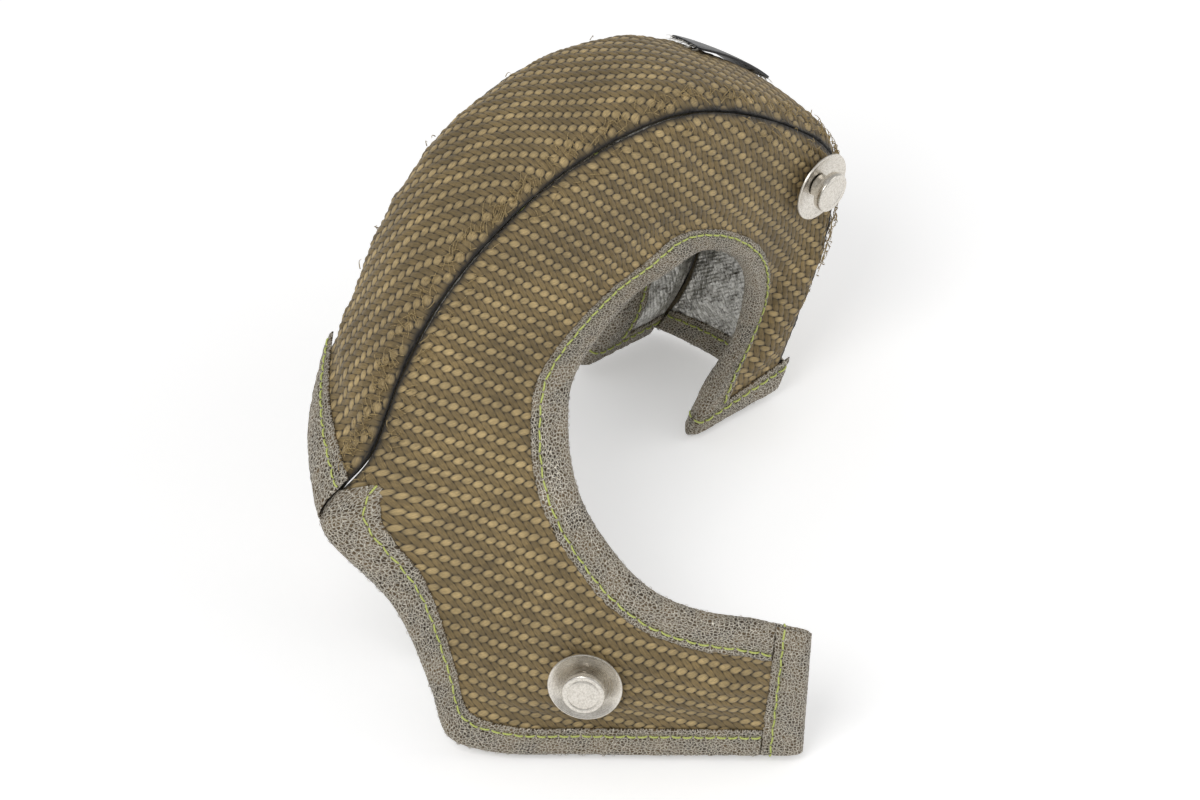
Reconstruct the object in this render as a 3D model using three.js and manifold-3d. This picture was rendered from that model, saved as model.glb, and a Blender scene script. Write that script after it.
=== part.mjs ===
// Turbo heat blanket: an open, C-shaped quilted jacket that stands as an arch on its ends.
// Millimetres, +Z up. -Y is the face side, +X runs from the long leg to the short leg.
import * as THREE from 'three';
import { mergeVertices } from 'three/addons/utils/BufferGeometryUtils.js';
import Module from 'manifold-3d';

const wasm = await Module();
wasm.setup();

// Cloth layers, from the outside in
const COVER_THICKNESS = 1.2;
const FELT_THICKNESS = 1.2; // where the edges are sewn down
const LINING_THICKNESS = 0.8;
const LAYER_GAP = 1.1;
const PUFF_OUT = 2.2; // how far the cover swells between its sewn edges
const PUFF_IN = 1.6; // how far the lining swells inwards
const LOFT_SLACK = 0.35; // the felt swells this much less than the cloth on each side
const PUFF_RUN = 9; // distance from a sewn edge to full swell
const CROWN_BOW = 3.4; // extra arch across the crown band
const SEAM_GAP = 0.5; // cloth to cloth across a sewn seam

// Weave: one raised ridge for each diagonal row of tows
const WEAVE_PITCH = 5.3;
const WEAVE_RELIEF = 0.45;

// Mesh tape folded over the free edges
const BINDING_WIDTH = 10.5;
const BINDING_THICKNESS = 0.8;
const BINDING_GAP = 1;
const BUTT_GAP = 0.4;
const HEM_SLACK = 1; // flat cloth beyond the tape's inner edge
const TAPE_STEP = 5.3; // length of one facet of a long tape

// Lacing studs
const WASHER_DIAMETER = 20;
const WASHER_THICKNESS = 0.8;
const WASHER_DISH = 1.8; // height of the rim above the seat
const WASHER_SEAT = 9; // diameter of the flat middle
const SHANK_DIAMETER = 4;
const NECK_DIAMETER = 6.6;
const NECK_LENGTH = 3;
const HEAD_DIAMETER = 11.5;
const HEAD_HEIGHT = 2.4;
const HEAD_CHAMFER = 0.5;
const BACKING_DIAMETER = 10;
const BACKING_THICKNESS = 1;
const STUD_GAP = 0.3;
const STUD_SIDES = 12;
const SEAT_SLACK = 0.6; // play under a washer, where the cloth is not flat

// Label plate on the far side of the crown
const LABEL_LENGTH = 33;
const LABEL_WIDTH = 15;
const LABEL_THICKNESS = 0.8;
const LABEL_AT = 14.9; // seam station of its middle
const LABEL_FROM_SEAM = 29;

// Cloth edges. Each point is a station round the C, from the end of the long leg up the left
// side, over the top and down to the foot of the short leg.
const faceInnerEdge = [
  [35.5, -64.5, 44], [21.5, -57.5, 47], [9.5, -50.5, 48], [0.5, -44, 51], [-6, -36.5, 56.5],
  [-9.5, -29.5, 61.5], [-11.5, -22.5, 65.5], [-12, -15.5, 69.5], [-11, -8, 73.5],
  [-8.5, 0.5, 78.5], [-3, 11, 84.5], [21.5, 33, 87.5], [36, 43.5, 84], [49, 52.5, 80.5],
  [61.5, 59.5, 69], [68.5, 64, 54], [69, 69, 35.5], [64, 70, 22.5], [57, 69, 12],
  [51.5, 68, 0],
];
const faceOuterEdge = [
  [34.5, -62.5, 0], [16.5, -56, 0], [-2.5, -49, 0], [-22, -41.5, 0], [-42.5, -33.5, 0.4],
  [-53, -27.5, 4], [-56, -22.5, 17.5], [-60.5, -10.5, 39.5], [-66, 2, 60],
  [-60.5, 8, 76], [-51, 17, 92], [-34.5, 27.5, 107.5], [-13.5, 39.5, 116.5],
  [14, 54.5, 120], [48, 64, 120.5], [81.5, 73.5, 100.5], [98.5, 79, 78.5],
  [96, 76, 54], [88, 75.5, 28], [80, 78, 0],
];
const rearOuterEdge = [
  [-40, 12, 0], [-45, 23, 20], [-50, 34, 42], [-59, 52, 73.5], [-52.5, 58, 82.5],
  [-42.5, 67.5, 91.5], [-28.5, 78.5, 106.5], [-10, 90, 116], [19, 105.5, 117],
  [44.5, 114, 109.5], [71, 122.5, 89], [81.5, 125.5, 70.5], [77.5, 119, 46],
  [67.5, 113, 23], [58, 118.5, 1.4],
];
const rearInnerEdge = [
  [-8, 0, 0], [-13, 10, 20], [-17, 22, 42], [-20, 36, 60], [-17, 45, 68], [-11, 54, 75],
  [-2, 63, 81], [8, 74, 85], [20, 86, 84], [33, 96, 77], [42, 103, 65], [46, 107, 52],
  [45, 107, 36], [40, 106, 18], [31.5, 110, 1.4],
];
const TAPE_LEAD = 0.3; // stations before the seam at which a side tape stops
const SEAM_LEAD = 1.1; // stations before that, where the hem already makes room for the seam
const SEAM_START = 8; // station of the face where the crown band begins
const REAR_SHIFT = 5; // rear stations run this many behind the face's

// Where each stud sits: station round its panel, and distance in from the outer edge
const FACE_STUDS = [{ at: 3.46, inset: 29.5 }, { at: 15.54, inset: 12.2 }];
const REAR_STUDS = [{ at: 1.3, inset: 17 }, { at: 11.2, inset: 14 }];

const v3 = (p) => new THREE.Vector3(...p);
const splineThrough = (points) =>
  new THREE.CatmullRomCurve3(points.map(v3), false, 'centripetal');
const smooth = (x) => {
  const t = THREE.MathUtils.clamp(x, 0, 1);
  return t * t * (3 - 2 * t);
};

// A panel is the strip of cloth between two edge curves. A place on it is a station u, a
// distance x in from edge a, and a height d above the sewn-down outer surface.
class Panel {
  constructor(edgeA, edgeB, { turn, shiftA = 0, shiftB = 0, bow = 0 }) {
    Object.assign(this, { edgeA, edgeB, turn, shiftA, shiftB, bow });
  }

  static on(curve, u) {
    return curve.getPoint(THREE.MathUtils.clamp(u / (curve.points.length - 1), 0, 1));
  }

  a(u) {
    return Panel.on(this.edgeA, u - this.shiftA);
  }

  b(u) {
    return Panel.on(this.edgeB, u - this.shiftB);
  }

  frame(u) {
    const a = this.a(u);
    const across = this.b(u).sub(a);
    const width = across.length();
    across.normalize();
    const h = 0.2;
    const along = this.middle(u + h).sub(this.middle(u - h)).normalize();
    const normal = across.clone().cross(along).multiplyScalar(this.turn).normalize();
    return { a, across, width, along, normal };
  }

  point(frame, x, d) {
    const arch = this.bow * Math.sin((Math.PI * THREE.MathUtils.clamp(x / frame.width, 0, 1)));
    return frame.a.clone().addScaledVector(frame.across, x)
      .addScaledVector(frame.normal, d + arch);
  }

  middle(u) {
    return this.a(u).add(this.b(u)).multiplyScalar(0.5);
  }

  // Stations an equal distance apart along the middle of the strip, in a multiple of 4 steps
  stations(u0, u1, spacing) {
    const n = 400;
    const run = [0];
    for (let i = 1; i <= n; i += 1) {
      run.push(run[i - 1] + this.middle(u0 + ((u1 - u0) * i) / n).distanceTo(
        this.middle(u0 + ((u1 - u0) * (i - 1)) / n)));
    }
    const steps = Math.max(4, 4 * Math.round(run[n] / spacing / 4));
    const list = [];
    for (let k = 0, i = 0; k <= steps; k += 1) {
      const want = (run[n] * k) / steps;
      while (i < n - 1 && run[i + 1] < want) i += 1;
      const part = (want - run[i]) / Math.max(run[i + 1] - run[i], 1e-9);
      list.push(u0 + ((u1 - u0) * (i + part)) / n);
    }
    return list;
  }
}

// Joins rows of paired points, top and bottom, into one closed body.
function loft(rows) {
  const n = rows[0].top.length;
  const ring = 2 * n;
  const positions = [];
  for (const { top, bottom } of rows) {
    for (const p of [...top, ...[...bottom].reverse()]) positions.push(p.x, p.y, p.z);
  }
  const index = [];
  const quad = (a, b, c, d) => index.push(a, b, c, a, c, d);
  for (let k = 0; k < rows.length - 1; k += 1) {
    for (let j = 0; j < ring; j += 1) {
      const next = (j + 1) % ring;
      quad(k * ring + j, k * ring + next, (k + 1) * ring + next, (k + 1) * ring + j);
    }
  }
  const last = (rows.length - 1) * ring;
  for (let j = 0; j < n - 1; j += 1) {
    quad(j, ring - 1 - j, ring - 2 - j, j + 1);
    quad(last + j + 1, last + ring - 2 - j, last + ring - 1 - j, last + j);
  }
  if (signedVolume(positions, index) < 0) {
    for (let i = 0; i < index.length; i += 3) {
      [index[i + 1], index[i + 2]] = [index[i + 2], index[i + 1]];
    }
  }
  const geometry = new THREE.BufferGeometry();
  geometry.setAttribute('position', new THREE.Float32BufferAttribute(positions, 3));
  geometry.setIndex(index);
  return geometry;
}

function signedVolume(positions, index) {
  const at = (i) => new THREE.Vector3().fromArray(positions, 3 * i);
  let total = 0;
  for (let i = 0; i < index.length; i += 3) {
    total += at(index[i]).dot(at(index[i + 1]).cross(at(index[i + 2])));
  }
  return total / 6;
}

function toSolid(geometry) {
  const bare = geometry.clone();
  bare.deleteAttribute('normal');
  bare.deleteAttribute('uv');
  const merged = mergeVertices(bare, 1e-4);
  return new wasm.Manifold(new wasm.Mesh({
    numProp: 3,
    vertProperties: Float32Array.from(merged.attributes.position.array),
    triVerts: Uint32Array.from(merged.index.array),
  }));
}

function toGeometry(solid) {
  const mesh = solid.getMesh();
  const geometry = new THREE.BufferGeometry();
  geometry.setAttribute('position', new THREE.BufferAttribute(mesh.vertProperties, 3));
  geometry.setIndex(new THREE.BufferAttribute(mesh.triVerts, 1));
  return geometry;
}

function cut(geometry, cutters) {
  return toGeometry(cutters.reduce((solid, cutter) => solid.subtract(toSolid(cutter)),
    toSolid(geometry)));
}

// The three panels
const innerCurve = splineThrough(faceInnerEdge);
const seamCurve = splineThrough(faceOuterEdge);
const rearCurve = splineThrough(rearOuterEdge);
const rearInnerCurve = splineThrough(rearInnerEdge);
const END = faceInnerEdge.length - 1;
const REAR_END = rearInnerEdge.length - 1;
const REAR_START = SEAM_START - REAR_SHIFT;

const face = new Panel(seamCurve, innerCurve, { turn: 1 });
const crown = new Panel(seamCurve, rearCurve, { turn: -1, shiftB: REAR_SHIFT, bow: CROWN_BOW });
const rear = new Panel(rearCurve, rearInnerCurve, { turn: -1 });

// Depths below the sewn-down outer surface: top and bottom of each layer
const coverTop = 0;
const coverBottom = -COVER_THICKNESS;
const feltTop = coverBottom - LAYER_GAP;
const feltBottom = feltTop - FELT_THICKNESS;
const liningTop = feltBottom - LAYER_GAP;
const liningBottom = liningTop - LINING_THICKNESS;
const hemStart = BINDING_THICKNESS + BINDING_GAP;

// How far a sewn joint's mitre runs back for each unit of depth, on both sides of a seam
function mitreRun(frame, along, other) {
  const flat = (w) => w.clone().addScaledVector(along, -w.dot(along));
  const one = flat(frame.across);
  const half = one.angleTo(flat(other.across)) / 2;
  return {
    perDepth: 1 / Math.tan(half) / one.length(), gap: SEAM_GAP / 2 / Math.sin(half), hem: 0,
  };
}

function alongCurve(curve, u, shift) {
  const h = 0.15;
  return Panel.on(curve, u - shift + h).sub(Panel.on(curve, u - shift - h)).normalize();
}

const reversed = (frame) => ({ across: frame.across.clone().negate() });

// Start of a layer at a panel's edge a or b: a mitre along a seam, a hem along a free edge
function edgeAt(panel, u, frame, side) {
  const free = { perDepth: 0, gap: hemStart, hem: BINDING_WIDTH + HEM_SLACK - hemStart };
  // Beside a seam's end the hem turns into the mitre over a few stations
  const lead = (joint, past) => {
    const left = 1 - smooth(past / SEAM_LEAD);
    return {
      perDepth: joint.perDepth * smooth(past / SEAM_LEAD / 2 + 1),
      gap: THREE.MathUtils.lerp(joint.gap, Math.max(joint.gap, hemStart), left),
      hem: free.hem * left,
    };
  };
  if (panel === face && side === 'a' && u >= SEAM_START - 2 * SEAM_LEAD) {
    return lead(mitreRun(frame, alongCurve(seamCurve, u, 0), crown.frame(u)), u - SEAM_START);
  }
  if (panel === crown && side === 'a') {
    return mitreRun(frame, alongCurve(seamCurve, u, 0), face.frame(u));
  }
  if (panel === crown) {
    return mitreRun(reversed(frame), alongCurve(rearCurve, u, REAR_SHIFT),
      rear.frame(u - REAR_SHIFT));
  }
  if (panel === rear && side === 'a' && u >= REAR_START - 2 * SEAM_LEAD) {
    return lead(mitreRun(frame, alongCurve(rearCurve, u, 0),
      reversed(crown.frame(u + REAR_SHIFT))), u - REAR_START);
  }
  return free;
}

// One row of a layer across its panel
function layerRow(panel, u, ease, { top, bottom, puffTop, puffBottom, relief = 0 }) {
  const frame = panel.frame(u);
  const from = edgeAt(panel, u, frame, 'a');
  const to = edgeAt(panel, u, frame, 'b');
  const inset = (joint, d) => joint.gap + Math.max(0, -d) * joint.perDepth;
  const row = (d, puff, lift) => {
    const start = inset(from, d);
    const end = frame.width - inset(to, d);
    return columns(start, end).map((x) => {
      const clear = Math.min(x - start - from.hem, end - x - to.hem);
      const swell = puff * ease * smooth(clear / PUFF_RUN);
      const raised = clear > 0 ? lift * ease : 0;
      return panel.point(frame, x, d + swell + raised);
    });
  };
  return { top: row(top, puffTop, relief), bottom: row(bottom, puffBottom, 0) };
}

const columns = (start, end) => {
  const hem = BINDING_WIDTH + HEM_SLACK - hemStart;
  return [start, start + hem, (start + end) / 2, end - hem, end];
};

function layer(panel, us, spec) {
  const run = [0];
  for (let k = 1; k < us.length; k += 1) {
    run.push(run[k - 1] + panel.middle(us[k]).distanceTo(panel.middle(us[k - 1])));
  }
  const hem = BINDING_WIDTH + HEM_SLACK - hemStart;
  return loft(us.map((u, k) => {
    const ease = smooth((Math.min(run[k], run[run.length - 1] - run[k]) - hem) / PUFF_RUN);
    const relief = k % 2 ? spec.relief ?? 0 : 0;
    return layerRow(panel, u, ease, { ...spec, relief });
  }));
}

function layers(panel, u0, u1, weave) {
  const fine = panel.stations(u0, u1, weave ? WEAVE_PITCH / 2 : WEAVE_PITCH);
  const coarse = fine.filter((_, k) => k % (weave ? 4 : 2) === 0);
  return {
    cover: layer(panel, fine, {
      top: coverTop, bottom: coverBottom, puffTop: PUFF_OUT, puffBottom: PUFF_OUT,
      relief: weave ? WEAVE_RELIEF : 0,
    }),
    felt: layer(panel, coarse, {
      top: feltTop, bottom: feltBottom, puffTop: PUFF_OUT - LOFT_SLACK,
      puffBottom: LOFT_SLACK - PUFF_IN,
    }),
    lining: layer(panel, coarse, {
      top: liningTop, bottom: liningBottom, puffTop: -PUFF_IN, puffBottom: -PUFF_IN,
    }),
  };
}

// Stations at which a tape of the binding's width ends, measured from an end of the cloth
function stepIn(panel, u, distance, sign) {
  let at = u;
  let run = 0;
  const du = 0.01 * sign;
  while (run < distance) {
    run += panel.middle(at + du).distanceTo(panel.middle(at));
    at += du;
  }
  return at;
}

const tapeTop = coverTop + BINDING_GAP + BINDING_THICKNESS;
const tapeBottom = liningBottom - BINDING_GAP - BINDING_THICKNESS;

// Tape along edge a or b of a panel, between two stations: a folded strip round the hem
function sideTape(panel, side, u0, u1) {
  const rows = panel.stations(u0, u1, TAPE_STEP).map((u) => {
    const frame = panel.frame(u);
    const place = ([x, d]) => panel.point(frame, side === 'a' ? x : frame.width - x, d);
    const t = BINDING_THICKNESS;
    const w = BINDING_WIDTH;
    return {
      top: [[w, tapeTop], [0, tapeTop], [0, tapeBottom], [w, tapeBottom]].map(place),
      bottom: [[w, tapeTop - t], [t, tapeTop - t], [t, tapeBottom + t], [w, tapeBottom + t]]
        .map(place),
    };
  });
  return loft(rows);
}

// Tape over the end of a strip, across its whole width, or up to the seams beside it
function endTape(panel, uEnd, sign) {
  const uTurn = stepIn(panel, uEnd, BINDING_THICKNESS, sign);
  const uFar = stepIn(panel, uEnd, BINDING_WIDTH, sign);
  const t = BINDING_THICKNESS;
  const line = (u, d) => {
    const frame = panel.frame(u);
    const trim = (side) => {
      const joint = edgeAt(panel, u, frame, side);
      return joint.hem ? 0 : joint.gap + BUTT_GAP + Math.max(0, -d) * joint.perDepth;
    };
    return columns(trim('a'), frame.width - trim('b')).map((x) => panel.point(frame, x, d));
  };
  const uMid = (uFar + uTurn) / 2;
  const top = [line(uFar, tapeTop), line(uMid, tapeTop), line(uEnd, tapeTop),
    line(uEnd, tapeBottom), line(uMid, tapeBottom), line(uFar, tapeBottom)];
  const bottom = [line(uFar, tapeTop - t), line(uMid, tapeTop - t), line(uTurn, tapeTop - t),
    line(uTurn, tapeBottom + t), line(uMid, tapeBottom + t), line(uFar, tapeBottom + t)];
  return loft(top[0].map((_, k) => ({
    top: top.map((points) => points[k]), bottom: bottom.map((points) => points[k]),
  })));
}

// Lacing stud, washer and backing washer as turned pieces about +Y, seat at y = 0
function turned(profile) {
  const points = [...profile, profile[0]].map(([r, y]) => new THREE.Vector2(r, y));
  return new THREE.LatheGeometry(points, STUD_SIDES);
}

const shankRadius = SHANK_DIAMETER / 2;
const boreRadius = shankRadius + STUD_GAP;
const seatHeight = PUFF_OUT + WEAVE_RELIEF + SEAT_SLACK;
const stackInside = seatHeight + PUFF_IN - liningBottom; // seat to the lining's inner face
const backingTop = -(stackInside + SEAT_SLACK);
const shankEnd = backingTop - BACKING_THICKNESS - STUD_GAP;

function studGeometry() {
  const neck = NECK_DIAMETER / 2;
  const head = HEAD_DIAMETER / 2;
  const neckFoot = WASHER_THICKNESS + STUD_GAP;
  const headFoot = neckFoot + NECK_LENGTH;
  const top = headFoot + HEAD_HEIGHT;
  return turned([
    [0, shankEnd - 1], [BACKING_DIAMETER / 4, shankEnd - 1], [BACKING_DIAMETER / 4, shankEnd],
    [shankRadius, shankEnd], [shankRadius, neckFoot], [neck, neckFoot],
    [neck, headFoot], [head - HEAD_CHAMFER, headFoot], [head, headFoot + HEAD_CHAMFER],
    [head, top - HEAD_CHAMFER], [head - HEAD_CHAMFER, top], [0, top],
  ]);
}

function washerGeometry() {
  const seat = WASHER_SEAT / 2;
  const rim = WASHER_DIAMETER / 2;
  const t = WASHER_THICKNESS;
  return turned([
    [boreRadius, 0], [seat, 0], [(seat + rim) / 2, WASHER_DISH * 0.35], [rim, WASHER_DISH],
    [rim, WASHER_DISH + t], [(seat + rim) / 2, WASHER_DISH * 0.35 + t], [seat, t],
    [boreRadius, t],
  ]);
}

function backingGeometry() {
  const rim = BACKING_DIAMETER / 2;
  return turned([
    [boreRadius, backingTop - BACKING_THICKNESS], [rim, backingTop - BACKING_THICKNESS],
    [rim, backingTop], [boreRadius, backingTop],
  ]);
}

function studFrame(panel, { at, inset }) {
  const frame = panel.frame(at);
  const seat = panel.point(frame, inset, coverTop + seatHeight);
  const turn = new THREE.Quaternion().setFromUnitVectors(new THREE.Vector3(0, 1, 0),
    frame.normal);
  return new THREE.Matrix4().compose(seat, turn, new THREE.Vector3(1, 1, 1));
}

function shankHole(matrix) {
  const length = 4 * stackInside;
  return new THREE.CylinderGeometry(boreRadius, boreRadius, length, STUD_SIDES)
    .applyMatrix4(matrix);
}

const cloth = new THREE.MeshStandardMaterial({ color: 0x7d6b47, roughness: 0.85 });
const felt = new THREE.MeshStandardMaterial({ color: 0xd8d2c4, roughness: 1 });
const foil = new THREE.MeshStandardMaterial({ color: 0xc4c4c2, roughness: 0.45, metalness: 0.6 });
const tape = new THREE.MeshStandardMaterial({ color: 0x91887a, roughness: 0.6, metalness: 0.3 });
const steel = new THREE.MeshStandardMaterial({ color: 0xcfccc6, roughness: 0.25, metalness: 1 });
const plate = new THREE.MeshStandardMaterial({ color: 0x16161a, roughness: 0.5 });

const blanket = new THREE.Group();
function add(name, geometry, material) {
  const mesh = new THREE.Mesh(geometry, material);
  mesh.name = name;
  blanket.add(mesh);
  return mesh;
}

// Cloth layers of each panel, with the studs' holes. Each layer starts clear of the tape fold.
const spans = {
  face: [face, stepIn(face, 0, hemStart, 1), stepIn(face, END, hemStart, -1)],
  crown: [crown, stepIn(crown, SEAM_START, hemStart, 1), stepIn(crown, END, hemStart, -1)],
  rear: [rear, stepIn(rear, 0, hemStart, 1), stepIn(rear, REAR_END, hemStart, -1)],
};
const studs = [
  ['lower_face', face, FACE_STUDS[0]], ['upper_face', face, FACE_STUDS[1]],
  ['left_rear', rear, REAR_STUDS[0]], ['right_rear', rear, REAR_STUDS[1]],
].map(([name, panel, place]) => ({ name, panel, matrix: studFrame(panel, place) }));

for (const [name, [panel, u0, u1]] of Object.entries(spans)) {
  const made = layers(panel, u0, u1, panel !== rear);
  const holes = studs.filter((stud) => stud.panel === panel)
    .map((stud) => shankHole(stud.matrix));
  const finish = { cover: cloth, felt, lining: foil };
  for (const [kind, geometry] of Object.entries(made)) {
    add(`${name}_${kind}`, holes.length ? cut(geometry, holes) : geometry, finish[kind]);
  }
}

for (const { name, matrix } of studs) {
  add(`${name}_stud`, studGeometry().applyMatrix4(matrix), steel);
  add(`${name}_washer`, washerGeometry().applyMatrix4(matrix), steel);
  add(`${name}_backing_washer`, backingGeometry().applyMatrix4(matrix), steel);
}

// Tapes. A tape over an end runs the full width, and the side tapes butt against it.
const buttFace = [stepIn(face, 0, BINDING_WIDTH + BUTT_GAP, 1),
  stepIn(face, END, BINDING_WIDTH + BUTT_GAP, -1)];
const buttRear = [stepIn(rear, 0, BINDING_WIDTH + BUTT_GAP, 1),
  stepIn(rear, REAR_END, BINDING_WIDTH + BUTT_GAP, -1)];
add('face_opening_binding', sideTape(face, 'b', ...buttFace), tape);
add('long_leg_side_binding', sideTape(face, 'a', buttFace[0], SEAM_START - TAPE_LEAD), tape);
add('long_leg_end_binding', endTape(face, 0, 1), tape);
add('short_leg_foot_binding', endTape(face, END, -1), tape);
add('crown_left_binding', endTape(crown, SEAM_START, 1), tape);
add('crown_right_binding', endTape(crown, END, -1), tape);
add('rear_opening_binding', sideTape(rear, 'b', ...buttRear), tape);
add('rear_left_side_binding', sideTape(rear, 'a', buttRear[0], REAR_START - TAPE_LEAD), tape);
add('rear_left_foot_binding', endTape(rear, 0, 1), tape);
add('rear_right_foot_binding', endTape(rear, REAR_END, -1), tape);

// Label plate, bent to the crown
function labelPatch(x0, x1, u0, u1, bottom, top, steps) {
  const rows = [];
  for (let k = 0; k <= steps; k += 1) {
    const frame = crown.frame(u0 + ((u1 - u0) * k) / steps);
    const line = (d) => [0, 0.5, 1].map((w) => crown.point(frame, x0 + (x1 - x0) * w, d));
    rows.push({ top: line(top), bottom: line(bottom) });
  }
  return loft(rows);
}
const labelBottom = coverTop + seatHeight;
const labelEnds = [stepIn(crown, LABEL_AT, LABEL_LENGTH / 2, -1),
  stepIn(crown, LABEL_AT, LABEL_LENGTH / 2, 1)];
add('label_plate', labelPatch(LABEL_FROM_SEAM, LABEL_FROM_SEAM + LABEL_WIDTH, ...labelEnds,
  labelBottom, labelBottom + LABEL_THICKNESS, 8), plate);

// The origin is the middle of the footprint, at the level of the feet
const box = new THREE.Box3().setFromObject(blanket);
const middle = box.getCenter(new THREE.Vector3());
blanket.position.set(-middle.x, -middle.y, -box.min.z);
blanket.updateMatrixWorld(true);

export default blanket;
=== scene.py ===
"""Turbo heat blanket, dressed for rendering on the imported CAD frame.

The blanket is three strips of quilted cloth (face, crown and rear), sewn edge to edge, with
knitted wire tape folded over the free edges, lacing studs and a bare label plate. Shapes are
worked out in millimetres with numpy and put into the meshes in metres.
"""

from __future__ import annotations

import logging
import math
from dataclasses import dataclass, field
from enum import Enum

import bpy
import numpy as np
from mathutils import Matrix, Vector

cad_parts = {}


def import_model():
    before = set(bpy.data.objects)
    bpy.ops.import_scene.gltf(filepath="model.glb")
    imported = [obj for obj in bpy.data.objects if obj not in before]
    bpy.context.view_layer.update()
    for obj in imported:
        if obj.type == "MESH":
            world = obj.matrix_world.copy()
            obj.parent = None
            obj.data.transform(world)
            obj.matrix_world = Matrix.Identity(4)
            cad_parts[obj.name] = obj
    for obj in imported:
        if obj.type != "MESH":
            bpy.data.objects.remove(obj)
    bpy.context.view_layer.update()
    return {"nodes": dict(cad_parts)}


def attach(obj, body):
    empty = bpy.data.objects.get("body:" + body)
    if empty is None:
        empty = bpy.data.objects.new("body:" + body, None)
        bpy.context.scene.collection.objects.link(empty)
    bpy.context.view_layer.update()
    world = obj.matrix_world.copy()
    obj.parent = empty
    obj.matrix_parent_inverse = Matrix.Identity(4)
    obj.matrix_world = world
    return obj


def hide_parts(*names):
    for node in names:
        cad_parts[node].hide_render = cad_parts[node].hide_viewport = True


Array = np.ndarray
MM = 0.001
ROOT = "root"
log = logging.getLogger("heat_blanket")


class Slot(Enum):
    """Material slots of the record."""

    CLOTH = "cover_cloth"
    FELT = "felt"
    FOIL = "foil_lining"
    TAPE = "mesh_tape"
    STEEL = "stud_steel"
    BLACK = "label_black"


class Side(Enum):
    """The two long edges of a strip."""

    A = "a"
    B = "b"


# Numbers and noise


def smooth(x: Array | float) -> Array:
    """Smoothstep: three x squared minus two x cubed, held between 0 and 1."""
    t = np.clip(x, 0.0, 1.0)
    return t * t * (3.0 - 2.0 * t)


def lerp(a: Array | float, b: Array | float, w: Array | float) -> Array | float:
    """Straight blend from a to b as w goes from 0 to 1."""
    return a + (b - a) * w


def scatter(i: Array, j: Array, seed: float) -> Array:
    """Repeatable random number from 0 to 1 for each whole-number pair (i, j)."""
    h = np.sin(i * 127.1 + j * 311.7 + seed * 74.7) * 43758.5453
    return h - np.floor(h)


def value_noise(x: Array, y: Array, seed: float) -> Array:
    """Value noise from -1 to 1: grid numbers blended by smoothstep in both directions."""
    i, j = np.floor(x), np.floor(y)
    u, v = smooth(x - i), smooth(y - j)
    low = lerp(scatter(i, j, seed), scatter(i + 1, j, seed), u)
    high = lerp(scatter(i, j + 1, seed), scatter(i + 1, j + 1, seed), u)
    return 2.0 * lerp(low, high, v) - 1.0


def fractal(x: Array, y: Array, seed: float, octaves: int = 3) -> Array:
    """Sum of value noises, each of half the size and half the height of the one before."""
    total = np.zeros(np.broadcast(x, y).shape)
    for k in range(octaves):
        total += value_noise(x * 2**k, y * 2**k, seed + 3.7 * k) * 0.5**k
    return total


def unit(v: Array) -> Array:
    """Vectors of length 1 along the last axis."""
    return v / np.maximum(np.linalg.norm(v, axis=-1, keepdims=True), 1e-12)


def linear(red: int, green: int, blue: int) -> tuple[float, float, float, float]:
    """Scene-linear colour of an 8-bit sRGB colour."""

    def channel(c: int) -> float:
        """Linear value of one channel: the inverse of the sRGB curve."""
        s = c / 255.0
        return s / 12.92 if s <= 0.04045 else ((s + 0.055) / 1.055) ** 2.4

    return (channel(red), channel(green), channel(blue), 1.0)


# Strips of cloth

SHIFT = np.array([-15.8617, -31.9984, 1.741])
SEAM_START = 8  # station at which the face and the crown are first sewn together
FLARE = np.array([-10.3, 3.8, 0.0])  # pull of the tape at the left end of the front seam
FLARE_RUN = 0.75  # stations over which the pull fades
FLARE_DEPTH = 12.0  # distance into the face over which the pull fades
WASHER_LEVEL = 3.25  # height of the washers' undersides over the sewn-down cloth

FACE_INNER = [
    (35.5, -64.5, 44), (21.5, -57.5, 47), (9.5, -50.5, 48), (0.5, -44, 51),
    (-6, -36.5, 56.5), (-9.5, -29.5, 61.5), (-11.5, -22.5, 65.5), (-12, -15.5, 69.5),
    (-11, -8, 73.5), (-8.5, 0.5, 78.5), (-3, 11, 84.5), (21.5, 33, 87.5), (36, 43.5, 84),
    (49, 52.5, 80.5), (61.5, 59.5, 69), (68.5, 64, 54), (69, 69, 35.5), (64, 70, 22.5),
    (57, 69, 12), (51.5, 68, 0),
]
SEAM = [
    (34.5, -62.5, 0), (16.5, -56, 0), (-2.5, -49, 0), (-22, -41.5, 0), (-42.5, -33.5, 0.4),
    (-53, -27.5, 4), (-56, -22.5, 17.5), (-60.5, -10.5, 39.5), (-66, 2, 60),
    (-60.5, 8, 76), (-51, 17, 92), (-34.5, 27.5, 107.5), (-13.5, 39.5, 116.5),
    (14, 54.5, 120), (48, 64, 120.5), (81.5, 73.5, 100.5), (98.5, 79, 78.5),
    (96, 76, 54), (88, 75.5, 28), (80, 78, 0),
]
REAR_OUTER = [
    (-40, 12, 0), (-45, 23, 20), (-50, 34, 42), (-59, 52, 73.5), (-52.5, 58, 82.5),
    (-42.5, 67.5, 91.5), (-28.5, 78.5, 106.5), (-10, 90, 116), (19, 105.5, 117),
    (44.5, 114, 109.5), (71, 122.5, 89), (81.5, 125.5, 70.5), (77.5, 119, 46),
    (67.5, 113, 23), (58, 118.5, 1.4),
]
REAR_INNER = [
    (-8, 0, 0), (-13, 10, 20), (-17, 22, 42), (-20, 36, 60), (-17, 45, 68),
    (-11, 54, 75), (-2, 63, 81), (8, 74, 85), (20, 86, 84), (33, 96, 77),
    (42, 103, 65), (46, 107, 52), (45, 107, 36), (40, 106, 18), (31.5, 110, 1.4),
]


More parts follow.
